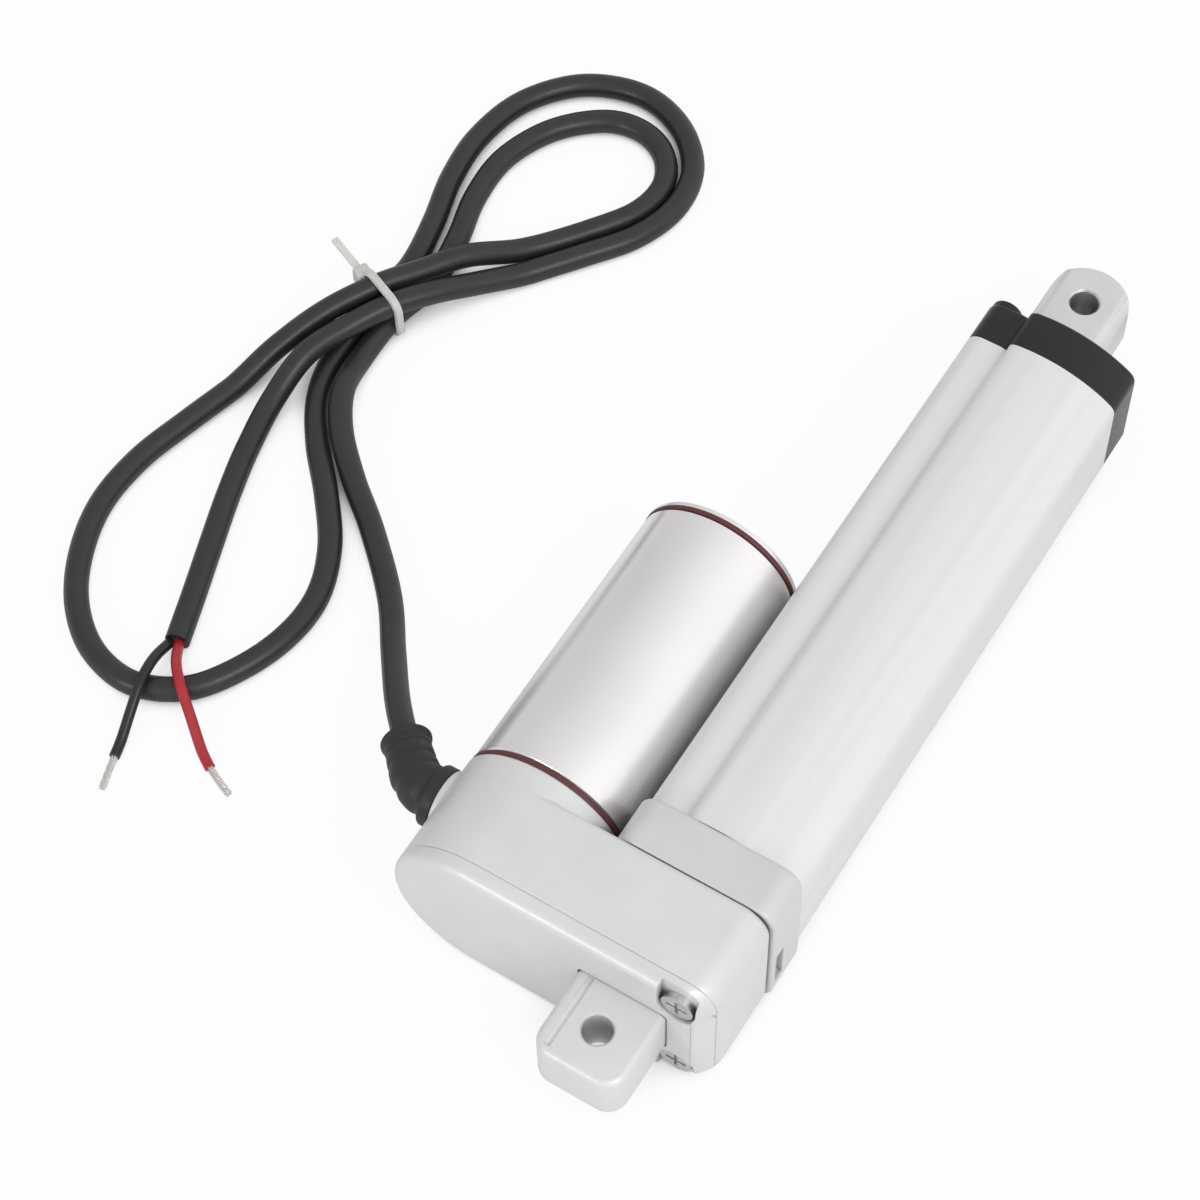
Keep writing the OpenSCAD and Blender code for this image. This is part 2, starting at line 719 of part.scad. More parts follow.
tail_lug();
lug_screws();
rear_cover();
cover_screws();
gear_housing();
rear_bush();
lead_screw();
screw_locknut();
output_gear();
gear_pin();
idler_gear();
idler_shaft();
motor_pinion();
motor_shaft();
armature_core();
windings();
commutator();
motor_front_plate();
motor_screws();
front_bush_bearing();
seam_gasket();
motor_can();
magnets();
brush_holder();
brushes();
brush_springs();
rear_bush_bearing();
end_gasket();
motor_end_cap();
bearing_outer_race();
bearing_inner_race();
bearing_balls();
tube_collar();
collar_screws();
tube_o_ring();
outer_tube();
switch_strip();
limit_switches();
switch_diodes();
front_cap();
cap_screws();
wiper_seal();
rod_guide();
drive_nut();
rod_tube();
rod_end();
strain_relief();
power_cord();
cable_tie();
black_lead();
red_lead();
lead_tips();
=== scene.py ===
"""Linear actuator with a side motor and a tied cord: its finished pieces, materials, light and camera.

Lengths in this script are millimetres until a mesh is made, which is in metres.
The rod runs along +Y, the motor lies at -X, +Z is up and the tail hole is at 0.
"""

import math

import bmesh
import bpy
import numpy as np
from bpy.props import FloatProperty, FloatVectorProperty, PointerProperty
from mathutils import Matrix, Vector


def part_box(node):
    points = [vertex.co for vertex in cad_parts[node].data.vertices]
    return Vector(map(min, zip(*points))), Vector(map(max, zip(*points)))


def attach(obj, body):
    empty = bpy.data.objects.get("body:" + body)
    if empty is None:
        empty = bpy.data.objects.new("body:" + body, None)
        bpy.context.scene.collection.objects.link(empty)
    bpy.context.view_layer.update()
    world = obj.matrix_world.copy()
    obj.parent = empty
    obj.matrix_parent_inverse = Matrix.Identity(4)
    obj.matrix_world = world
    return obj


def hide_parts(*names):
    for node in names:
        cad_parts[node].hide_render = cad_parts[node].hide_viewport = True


bl_info = {
    "name": "Linear Actuator",
    "version": (1, 0, 0),
    "blender": (4, 5, 0),
    "location": "3D View > Sidebar > Actuator",
    "description": "Builds the looks of a linear actuator round its packed frame",
    "category": "Object",
}

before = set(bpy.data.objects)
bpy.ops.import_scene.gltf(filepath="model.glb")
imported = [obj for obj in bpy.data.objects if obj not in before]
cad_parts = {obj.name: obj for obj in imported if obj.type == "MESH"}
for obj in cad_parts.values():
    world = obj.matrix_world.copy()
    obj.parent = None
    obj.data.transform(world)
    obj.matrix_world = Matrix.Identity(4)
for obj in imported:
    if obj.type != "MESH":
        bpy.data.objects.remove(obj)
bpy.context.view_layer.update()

MM = 0.001


def span(node, axis):
    """Lowest and highest place of a CAD node along an axis, in millimetres."""
    low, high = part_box(node)
    return low[axis] / MM, high[axis] / MM


# Places taken from the frame
FLOOR = span("gear_housing", 2)[0]
BODY_H = -FLOOR
BODY_X0, BODY_X1 = span("rear_cover", 0)
COVER_Y0 = span("rear_cover", 1)[0]
HOUSING_Y0 = span("gear_housing", 1)[0]
NECK_Y1 = span("gear_housing", 1)[1]
COLLAR_Y0 = span("tube_collar", 1)[0]
TUBE_Y0, TUBE_Y1 = span("outer_tube", 1)
TUBE_X0, TUBE_X1 = span("outer_tube", 0)
TUBE_H = span("outer_tube", 2)[1]
CAP_Y1 = span("front_cap", 1)[1]
CAN_Y0, CAN_Y1 = span("motor_can", 1)
CAN_X0, CAN_X1 = span("motor_can", 0)
MOTOR_X = (CAN_X0 + CAN_X1) / 2
MOTOR_R = (CAN_X1 - CAN_X0) / 2
MOTOR_Y1 = span("motor_end_cap", 1)[1]
ROD_R = span("rod_tube", 0)[1]
ROD_Y0, ROD_Y1 = span("rod_tube", 1)
EYE_Y = span("rod_end", 1)[1] - ROD_R
LUG_X = span("tail_lug", 0)[1]
LUG_Y0 = span("tail_lug", 1)[0]

# Sizes that the frame's boxes don't give
HOUSING_Y1 = 33  # front face of the gearbox
CORNER_R = 6.5  # gearbox corners on the rod's side
PLAN_R = 7  # gearbox back corner, seen from above
EYE_R, EYE_T = 3.2, 14  # pin holes and the thickness between their faces
BORE_R = 14  # inside of the outer tube
SCREW_X, SCREW_Z = 12, 12.4  # rear cover's screws
POCKET_R, POCKET_Y1 = 4.1, 11.2
CAP_SCREWS = ((-12.2, 10.5), (-12.2, -10.5), (13.8, 11), (13.8, -11))
CAP_SCREW_R = 2.6
CAP_PAD = 1.5  # height of the pads round the cap screws on the motor's side
RELIEF_Y = 29.5  # middle of the cord's exit
CORD_R = 2.8  # the cord's radius, for its route
PAST = 3  # how far a cutter reaches past the face it cuts


# ---- Settings a user would change ----


def hex_linear(code):
    """Turns an sRGB hex colour into linear red, green and blue."""
    value = np.array([int(code[i : i + 2], 16) for i in (1, 3, 5)]) / 255
    return tuple(np.where(value <= 0.04045, value / 12.92, ((value + 0.055) / 1.055) ** 2.4).tolist())


def colour(code, name, description):
    return FloatVectorProperty(
        name=name, description=description, subtype="COLOR", size=3, min=0, max=1, default=hex_linear(code)
    )


def length(default, name, description):
    return FloatProperty(
        name=name, description=description, subtype="DISTANCE", unit="LENGTH", min=0, default=default * MM
    )


class ActuatorSizes(bpy.types.PropertyGroup):
    """Sizes of the edges and the small parts."""

    cast_edge: length(2.2, "Casting edge", "Radius of the round edge on the back of the gearbox")
    lug_edge: length(1.5, "Lug edge", "Radius of the long edges of the tail lug")
    cap_edge: length(1.0, "Cap edge", "Radius of the front edge of the cap")
    groove: length(0.55, "Groove", "Depth of the groove along the outer tube")
    cord: length(5.6, "Cord", "Diameter of the power cord")
    lead: length(2.4, "Lead", "Diameter of an insulated lead")


class ActuatorColours(bpy.types.PropertyGroup):
    """Colours of the main finishes."""

    casting: colour("#D7D9D8", "Castings", "Silver paint on the gearbox and the tail lug")
    collar: colour("#CECFD0", "Collar", "Grey paint on the collar behind the tube")
    tube: colour("#E3E3E3", "Outer tube", "Clear anodised aluminium")
    motor: colour("#F6F4F4", "Motor", "Plated steel of the motor can")
    rod: colour("#E0E0E0", "Rod", "Ground steel of the rod")
    plastic: colour("#0B0B0C", "Cap", "Moulded plastic of the front cap")
    cord: colour("#252626", "Cord", "Sheath of the power cord")
    gasket: colour("#5B2A2C", "Motor seals", "Seal rings at both ends of the motor can")
    red: colour("#A8202A", "Red lead", "Insulation of the red lead")


# ---- Materials ----


def add_node(tree, kind, inputs=None, **settings):
    """Adds a shader node, sets its properties, and sets or links its inputs."""
    node = tree.nodes.new(kind)
    for name, value in settings.items():
        setattr(node, name, value)
    for name, value in (inputs or {}).items():
        if isinstance(value, bpy.types.NodeSocket):
            tree.links.new(value, node.inputs[name])
        else:
            node.inputs[name].default_value = value
    return node


def new_material(name):
    """An empty node material and its Principled shader, already wired to the output."""
    material = bpy.data.materials.new(name)
    material.use_nodes = True
    tree = material.node_tree
    tree.nodes.clear()
    shader = add_node(tree, "ShaderNodeBsdfPrincipled")
    add_node(tree, "ShaderNodeOutputMaterial", {"Surface": shader.outputs[0]})
    return material, tree, shader


def grain(tree, size_mm, stretch=(1, 1, 1), detail=3.0):
    """Noise on Object coordinates whose blobs are size_mm across, drawn out by stretch."""
    place = add_node(tree, "ShaderNodeTexCoord")
    scale = add_node(
        tree,
        "ShaderNodeMapping",
        {"Vector": place.outputs["Object"], "Scale": [1 / (size_mm * MM * s) for s in stretch]},
    )
    settings = {"Vector": scale.outputs[0], "Scale": 1.0, "Detail": detail, "Roughness": 0.55}
    return add_node(tree, "ShaderNodeTexNoise", settings).outputs["Fac"]


def vary(tree, factor, low, high):
    """Maps a 0 to 1 pattern on to the range low to high."""
    settings = {"Value": factor, "From Min": 0.3, "From Max": 0.7, "To Min": low, "To Max": high}
    return add_node(tree, "ShaderNodeMapRange", settings).outputs[0]


def tint(tree, pattern, rgb, spread):
    """Colour that is a little darker and lighter than rgb, following a pattern."""
    ramp = add_node(tree, "ShaderNodeMix", {"Factor": vary(tree, pattern, 0, 1)}, data_type="RGBA")
    ramp.inputs["A"].default_value = (*[c * (1 - spread) for c in rgb], 1)
    ramp.inputs["B"].default_value = (*[min(1, c * (1 + spread)) for c in rgb], 1)
    return ramp.outputs["Result"]


def painted_hollow_shade(tree, rgb, reach_mm, deepest):
    """Multiplies a colour by painted shade, from ambient occlusion, that falls to deepest in holes and joints
    narrower than reach_mm.
    """
    hollow = add_node(tree, "ShaderNodeAmbientOcclusion", {"Distance": reach_mm * MM}, samples=8)
    shade = add_node(
        tree,
        "ShaderNodeMapRange",
        {"Value": hollow.outputs["AO"], "From Min": 0.1, "From Max": 0.55, "To Min": deepest, "To Max": 1.0},
    )
    product = add_node(tree, "ShaderNodeMix", {"Factor": 1.0}, data_type="RGBA", blend_type="MULTIPLY")
    tree.links.new(rgb, product.inputs["A"])
    tree.links.new(shade.outputs[0], product.inputs["B"])
    return product.outputs["Result"]


def rounded_bump(tree, shader, height, strength, depth_mm, edge_mm=0.0):
    """Bump from a pattern depth_mm deep, over shading that rounds edges by edge_mm."""
    inputs = {"Height": height, "Strength": strength, "Distance": depth_mm * MM}
    if edge_mm:
        inputs["Normal"] = add_node(tree, "ShaderNodeBevel", {"Radius": edge_mm * MM}, samples=4).outputs[0]
    bump = add_node(tree, "ShaderNodeBump", inputs)
    tree.links.new(bump.outputs[0], shader.inputs["Normal"])


def silver_paint(name, rgb):
    """Sprayed silver paint on die-cast metal: pale and satin, with a fine orange peel and faint clouds."""
    material, tree, shader = new_material(name)
    peel = grain(tree, 0.9, detail=2)
    pale = tint(tree, grain(tree, 14), rgb, 0.03)
    # The base colour gets painted shade: it is darkened towards 0.2 in holes, pockets and joints within 7 mm.
    tree.links.new(painted_hollow_shade(tree, pale, 7, 0.2), shader.inputs["Base Color"])
    tree.links.new(vary(tree, peel, 0.40, 0.50), shader.inputs["Roughness"])
    shader.inputs["Metallic"].default_value = 0.25
    shader.inputs["Coat Weight"].default_value = 0.25
    shader.inputs["Coat Roughness"].default_value = 0.22
    rounded_bump(tree, shader, peel, 0.35, 0.05, 0.4)
    return material


def anodised_extrusion(name, rgb):
    """Clear anodised extrusion: soft sheen with faint die lines, 0.5 mm apart, along the tube."""
    material, tree, shader = new_material(name)
    lines = grain(tree, 0.5, stretch=(1, 300, 1), detail=2)
    broad = grain(tree, 3.5, stretch=(1, 60, 1), detail=2)
    tree.links.new(tint(tree, broad, rgb, 0.035), shader.inputs["Base Color"])
    tree.links.new(vary(tree, lines, 0.34, 0.46), shader.inputs["Roughness"])
    shader.inputs["Metallic"].default_value = 0.45
    rounded_bump(tree, shader, lines, 0.25, 0.03)
    return material


def plated_can(name, rgb):
    """Nickel-plated drawn steel: mirror-like but soft, with faint streaks from drawing along the can."""
    material, tree, shader = new_material(name)
    streaks = grain(tree, 0.7, stretch=(1, 40, 1), detail=2)
    smudge = grain(tree, 16, stretch=(1, 2.5, 1), detail=1)
    tree.links.new(tint(tree, smudge, rgb, 0.03), shader.inputs["Base Color"])
    tree.links.new(vary(tree, smudge, 0.26, 0.33), shader.inputs["Roughness"])
    shader.inputs["Metallic"].default_value = 1.0
    rounded_bump(tree, shader, streaks, 0.06, 0.02)
    return material


def ground_steel(name, rgb):
    """Centreless-ground steel: bright, with fine rings 0.3 mm apart round the rod."""
    material, tree, shader = new_material(name)
    rings = grain(tree, 0.3, stretch=(60, 1, 60), detail=2)
    pale = tint(tree, grain(tree, 7), rgb, 0.03)
    # The base colour gets painted shade: it is darkened towards 0.15 in the pin hole and other hollows within
    # 8 mm.
    tree.links.new(painted_hollow_shade(tree, pale, 8, 0.15), shader.inputs["Base Color"])
    tree.links.new(vary(tree, rings, 0.28, 0.40), shader.inputs["Roughness"])
    shader.inputs["Metallic"].default_value = 0.75
    rounded_bump(tree, shader, rings, 0.15, 0.02, 0.3)
    return material


def moulded(name, rgb, roughness, texture_mm=0.5, depth_mm=0.03, specular=0.5, edge_mm=0.25):
    """Moulded plastic or rubber: one colour through, with the fine spark texture of its mould."""
    material, tree, shader = new_material(name)
    spark = grain(tree, texture_mm)
    tree.links.new(tint(tree, grain(tree, 8), rgb, 0.06), shader.inputs["Base Color"])
    tree.links.new(vary(tree, spark, roughness - 0.05, roughness + 0.07), shader.inputs["Roughness"])
    shader.inputs["Specular IOR Level"].default_value = specular
    rounded_bump(tree, shader, spark, 0.5, depth_mm, edge_mm)
    return material


def pvc_sheath(name, rgb, roughness=0.36):
    """Extruded PVC: smooth and slightly glossy, with slow ripples left by the wires inside."""
    material, tree, shader = new_material(name)
    ripple = grain(tree, 4.5, detail=2)
    skin = grain(tree, 0.4, detail=2)
    tree.links.new(tint(tree, ripple, rgb, 0.10), shader.inputs["Base Color"])
    tree.links.new(vary(tree, skin, roughness - 0.06, roughness + 0.08), shader.inputs["Roughness"])
    rounded_bump(tree, shader, ripple, 0.35, 0.12)
    return material


def natural_nylon(name):
    """Natural nylon: milky, lets some light through, with the soft gloss of a moulded strap."""
    material, tree, shader = new_material(name)
    haze = grain(tree, 2.0)
    tree.links.new(tint(tree, haze, hex_linear("#E9E9E6"), 0.03), shader.inputs["Base Color"])
    shader.inputs["Roughness"].default_value = 0.38
    shader.inputs["Transmission Weight"].default_value = 0.35
    shader.inputs["Subsurface Weight"].default_value = 0.25
    shader.inputs["Subsurface Scale"].default_value = 0.8 * MM
    rounded_bump(tree, shader, haze, 0.2, 0.03, 0.2)
    return material


def worked_metal(name, code, roughness, mark_mm, stretch=(1, 1, 1), metallic=1.0):
    """Turned, stamped or drawn metal: its tool marks are mark_mm apart, along the way they are drawn out."""
    material, tree, shader = new_material(name)
    marks = grain(tree, mark_mm, stretch)
    tree.links.new(tint(tree, marks, hex_linear(code), 0.08), shader.inputs["Base Color"])
    tree.links.new(vary(tree, marks, roughness - 0.06, roughness + 0.08), shader.inputs["Roughness"])
    shader.inputs["Metallic"].default_value = metallic
    rounded_bump(tree, shader, marks, 0.3, 0.03, 0.2)
    return material


# Materials of the CAD nodes that are shown as they are, most of them inside the housings
TURNED = (40, 1, 40)  # tool marks drawn out round an axis along Y
INNER_FINISHES = {
    "zinc plated steel": ("metal", "#C9CACB", 0.32, 0.6, (1, 1, 1)),
    "machined steel": ("metal", "#A9ABAE", 0.33, 0.4, TURNED),
    "oiled steel": ("metal", "#6E6F73", 0.42, 0.5, TURNED),
    "sintered bronze": ("metal", "#9C7346", 0.50, 0.25, (1, 1, 1)),
    "machined brass": ("metal", "#C8A45C", 0.30, 0.3, TURNED),
    "enamelled copper": ("metal", "#A9603B", 0.35, 0.5, TURNED),
    "acetal": ("moulded", "#E6E2D4", 0.42),
    "nitrile rubber": ("moulded", "#1E1E1E", 0.60),
    "switch plastic": ("moulded", "#26272A", 0.45),
    "hard ferrite": ("moulded", "#3A3A3C", 0.65),
    "phenolic laminate": ("moulded", "#7A5231", 0.55),
    "pressed carbon": ("moulded", "#1C1C1D", 0.50),
    "solder mask": ("moulded", "#22603A", 0.35),
    "diode glass": ("moulded", "#9A3A24", 0.12),
}
INNER_NODES = {
    "zinc plated steel": ["cover_screws", "lug_screws", "collar_screws", "motor_screws", "cap_screws"],
    "machined steel": ["gear_pin", "idler_shaft", "motor_shaft", "motor_front_plate", "brush_springs"]
    + ["bearing_outer_race", "bearing_inner_race", "bearing_balls"],
    "oiled steel": ["lead_screw", "screw_locknut", "armature_core"],
    "sintered bronze": ["rear_bush", "front_bush_bearing", "rear_bush_bearing"],
    "machined brass": ["motor_pinion"],
    "enamelled copper": ["windings", "commutator"],
    "acetal": ["output_gear", "idler_gear", "rod_guide", "drive_nut"],
    "nitrile rubber": ["tube_o_ring", "wiper_seal"],
    "switch plastic": ["limit_switches"],
    "hard ferrite": ["magnets"],
    "phenolic laminate": ["brush_holder"],
    "pressed carbon": ["brushes"],
    "solder mask": ["switch_strip"],
    "diode glass": ["switch_diodes"],
}


# ---- Surfaces ----


def surface(rings, around=True):
    """Points of a grid of rings and the quads between them; if around, each ring closes on itself."""
    count, size = rings.shape[:2]
    ring = np.arange(count - 1)[:, None] * size
    here = np.arange(size if around else size - 1)[None, :]
    there = (here + 1) % size
    quads = np.stack([ring + here, ring + there, ring + size + there, ring + size + here], axis=-1)
    return rings.reshape(-1, 3), quads.reshape(-1, 4).tolist()


def lid(ring):
    """One flat face that closes a ring of points."""
    return ring, [list(range(len(ring)))]


def closed_run(rings):
    """A grid of rings with a lid on each end."""
    return [surface(rings), lid(rings[0]), lid(rings[-1])]


def mesh_object(name, parts, material, angle=38):
    """Joins surfaces given in millimetres into one mesh with outward faces."""
    points, faces, start = [], [], 0
    for part_points, part_faces in parts:
        points.append(part_points)
        faces += [[i + start for i in face] for face in part_faces]
        start += len(part_points)
    mesh = bpy.data.meshes.new(name)
    mesh.from_pydata((np.concatenate(points) * MM).tolist(), [], faces)
    work = bmesh.new()
    work.from_mesh(mesh)
    bmesh.ops.remove_doubles(work, verts=work.verts, dist=0.002 * MM)
    bmesh.ops.dissolve_degenerate(work, edges=work.edges, dist=0.001 * MM)
    bmesh.ops.recalc_face_normals(work, faces=work.faces)
    work.to_mesh(mesh)
    work.free()
    mesh.shade_smooth()
    mesh.set_sharp_from_angle(angle=math.radians(angle))
    obj = bpy.data.objects.new(name, mesh)
    bpy.context.scene.collection.objects.link(obj)
    mesh.materials.append(material)
    return obj


def piece(name, parts, material, body="housing", replaces=(), angle=38, cutters=()):
    """Makes a mesh of surfaces, cuts closed surfaces out of it, and places it on its body."""
    obj = mesh_object(name, parts, material, angle)
    carve(obj, cutters, angle)
    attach(obj, body)
    if replaces:
        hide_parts(*replaces)
    return obj


def carve(obj, cutters, angle):
    """Cuts closed surfaces out of an object and keeps the result as its mesh."""
    for parts in cutters:
        cutter = mesh_object("cutter", parts, obj.data.materials[0])
        cut = obj.modifiers.new("cut", "BOOLEAN")
        cut.operation = "DIFFERENCE"
        cut.solver = "EXACT"
        cut.object = cutter
        graph = bpy.context.evaluated_depsgraph_get()
        mesh = bpy.data.meshes.new_from_object(obj.evaluated_get(graph))
        obj.modifiers.clear()
        obj.data = mesh
        bpy.data.objects.remove(cutter)
    obj.data.shade_smooth()
    obj.data.set_sharp_from_angle(angle=math.radians(angle))


def arc(x, z, radius, start, end, steps):
    """Points on a circle of the given radius about (x, z), from one angle to another in degrees."""
    turn = np.radians(np.linspace(start, end, steps))
    return np.stack([x + radius * np.cos(turn), z + radius * np.sin(turn)], axis=-1)


def round_rect(x0, x1, half, r_left, r_right, inset=0.0, steps=12):
    """Outline of a rectangle with round corners, drawn in by inset: four arcs joined by straight sides."""
    x0, x1, half = x0 + inset, x1 - inset, half - inset
    left, right = max(r_left - inset, 0.1), max(r_right - inset, 0.1)
    return np.concatenate(
        [
            arc(x1 - right, right - half, right, -90, 0, steps),
            arc(x1 - right, half - right, right, 0, 90, steps),
            arc(x0 + left, half - left, left, 90, 180, 2 * steps),
            arc(x0 + left, left - half, left, 180, 270, 2 * steps),
        ]
    )


def at_y(outline, y):
    """Puts an outline drawn in X and Z at a place along Y."""
    return np.stack([outline[:, 0], np.full(len(outline), y), outline[:, 1]], axis=-1)


def at_z(outline, z):
    """Puts an outline drawn in X and Y at a height."""
    return np.stack([outline[:, 0], outline[:, 1], np.full(len(outline), z)], axis=-1)


def prism(outline, y0, y1):
    """A closed bar along Y with one outline from end to end."""
    return closed_run(np.array([at_y(outline, y) for y in (y0, y1)]))


def edged_bar(outline, run):
    """A closed bar along Y: at each station of the run, its outline drawn in as far as that station says."""
    return closed_run(np.array([at_y(outline(inset), y) for y, inset in run]))


def quarter_edges(start, end, r_start, r_end, steps=7):
    """Stations from start to end, each with how far the outline is drawn in for the round edges there."""
    turn = np.linspace(0, math.pi / 2, steps)
    first = np.stack([start + r_start * (1 - np.cos(turn)), r_start * (1 - np.sin(turn))], axis=-1)
    last = np.stack([end - r_end * (1 - np.cos(turn)), r_end * (1 - np.sin(turn))], axis=-1)[::-1]
    return np.concatenate([first, last])


def lathe(profile, x=0.0, z=0.0, steps=96):
    """Turns a closed or open profile of (y, radius) pairs round an axis along Y."""
    profile = np.array(profile, float)
    turn = np.linspace(0, 2 * math.pi, steps, endpoint=False)
    y, radius = profile[:, 0, None], profile[:, 1, None]
    return surface(
        np.stack([x + radius * np.cos(turn), y + 0 * turn, z + radius * np.sin(turn)], axis=-1)
    )


def smooth_route(points, spacing=1.5):
    """A curve through the points: on each stretch the cubic whose slopes are those between the neighbours."""
    points = np.array(points, float)
    ends = np.concatenate([[2 * points[0] - points[1]], points, [2 * points[-1] - points[-2]]])
    out = []
    for i in range(1, len(ends) - 2):
        a, b, c, d = ends[i - 1 : i + 3]
        count = max(2, int(np.linalg.norm(c - b) / spacing))
        t = np.linspace(0, 1, count, endpoint=False)[:, None]
        cubic = 2 * b + (c - a) * t + (2 * a - 5 * b + 4 * c - d) * t**2 + (3 * b - a - 3 * c + d) * t**3
        out.append(cubic / 2)
    return np.concatenate(out + [points[-1:]])


def along(route):
    """Unit directions along a route, and two unit directions square to it that don't twist much."""
    ahead = np.gradient(route, axis=0)
    ahead /= np.linalg.norm(ahead, axis=1, keepdims=True)
    side = np.cross(ahead, [0, 0, 1.0])
    side /= np.linalg.norm(side, axis=1, keepdims=True)
    return ahead, side, np.cross(side, ahead)


def sweep(route, radii, steps=24):
    """Rings of the given radii, square to a route at each of its points."""
    _, side, up = along(route)
    turn = np.linspace(0, 2 * math.pi, steps, endpoint=False)
    ring = side[:, None] * np.cos(turn)[None, :, None] + up[:, None] * np.sin(turn)[None, :, None]
    return route[:, None] + ring * np.asarray(radii, float)[:, None, None]


# ---- Shapes of the actuator ----


def plan_right(y):
    """How far right the gearbox reaches at a place along Y: its back corner is round, seen from above."""
    back = np.clip(COVER_Y0 + PLAN_R - y, 0, PLAN_R)
    return BODY_X1 - PLAN_R + math.sqrt(PLAN_R**2 - back**2)


def gear_ring(y, inset):
    """The gearbox's outline at a place along Y: round about the motor, squarer on the rod's side."""
    right = min(BODY_X1 - inset, plan_right(y + inset * 0.3))
    outline = round_rect(BODY_X0, right + inset, BODY_H, BODY_H, CORNER_R, inset)
    return at_y(outline, y)


def tube_outline(inset, groove, steps=480):
    """The tube's outline by angle about the rod: arched top and bottom, a flat right side with round edges,
    a lower rib on the motor's side, and a dip where they meet, drawn in by inset towards the rod."""
    arch_r, edge_r, arch_x0 = 33.3, 3.0, -6.5
    rib_r, rib_h = 3.5, 14.4
    dip_x, dip_half = -6.4, 0.9
    turn = np.linspace(0, 2 * math.pi, steps, endpoint=False)
    ray = np.stack([np.cos(turn), np.sin(turn)], axis=-1)
    trial = np.linspace(6, 26, 1601)
    reach = trial[None, :, None] * ray[:, None]
    across, height = reach[..., 0], np.abs(reach[..., 1])
    edge_x = TUBE_X1 - edge_r
    edge_z = TUBE_H - arch_r + math.sqrt((arch_r - edge_r) ** 2 - edge_x**2)
    main = np.hypot(across, height + arch_r - TUBE_H) <= arch_r
    main &= (across <= TUBE_X1) & (across >= arch_x0)
    way = np.arctan2(height - edge_z, across - edge_x)
    corner = (way > 0) & (way < math.atan2(edge_z + arch_r - TUBE_H, edge_x))
    main &= ~corner | (np.hypot(height - edge_z, across - edge_x) <= edge_r)
    rib_across = np.maximum(TUBE_X0 + rib_r - across, 0)
    rib_height = np.maximum(height - rib_h + rib_r, 0)
    rib = (np.hypot(rib_across, rib_height) <= rib_r) & (across <= 0)
    radius = trial[np.maximum((main | rib).sum(axis=1) - 1, 0)]
    outline = ray * radius[:, None]
    dip = np.exp(-(((outline[:, 0] - dip_x) / dip_half) ** 2)) * (np.abs(outline[:, 1]) > 10)
    outline *= (1 - groove * dip / np.hypot(*outline.T))[:, None]
    kernel = np.array([1, 2, 3, 2, 1]) / 9
    padded = np.concatenate([outline[-2:], outline, outline[:2]])
    outline = np.stack([np.convolve(padded[:, k], kernel, "valid") for k in (0, 1)], axis=-1)
    return outline * (1 - inset / np.linalg.norm(outline, axis=1, keepdims=True))


def post(x, z, radius, y0, y1, steps=48):
    """A closed round bar along Y, used to cut a pocket or hole."""
    return [lathe([(y0, 0), (y0, radius), (y1, radius), (y1, 0)], x, z, steps)]


def scallop(side, y0, y1):
    """Cuts a screw pocket that is round at its inner end and open at the top (side 1) or bottom (side -1)."""
    inner = arc(SCREW_X, SCREW_Z, POCKET_R, 180, 360, 32)
    outline = np.concatenate([inner, [(SCREW_X + POCKET_R, BODY_H + 2)], [(SCREW_X - POCKET_R, BODY_H + 2)]])
    outline[:, 1] *= side
    return prism(outline, y0, y1)


def pin_hole(y, steps=48):
    """A closed round bar along Z with a cone at both ends, which cuts a pin hole and its chamfers."""
    chamfer, past = 0.5, 2
    top, neck = EYE_T / 2 + past, EYE_T / 2 + 0.01 - chamfer
    mouth = EYE_R + 4 * chamfer
    turn = np.linspace(0, 2 * math.pi, steps, endpoint=False)
    rings = [
        np.stack([r * np.cos(turn), y + r * np.sin(turn), np.full(steps, z)], axis=-1)
        for z, r in ((-top, mouth), (-neck, EYE_R), (neck, EYE_R), (top, mouth))
    ]
    return closed_run(np.array(rings))


def exit_disc(x, radius, thick, back, front):
    """A disc about the cord's exit, thick towards -X from x, with its back and front edges rounded."""
    turn = np.linspace(0, 2 * math.pi, 64, endpoint=False)
    rings = [
        np.stack([np.full(64, x - out), RELIEF_Y + r * np.cos(turn), r * np.sin(turn)], axis=-1)
        for out, r in ((out, radius - inset) for out, inset in quarter_edges(0, thick, back, front))
    ]
    return closed_run(np.array(rings))


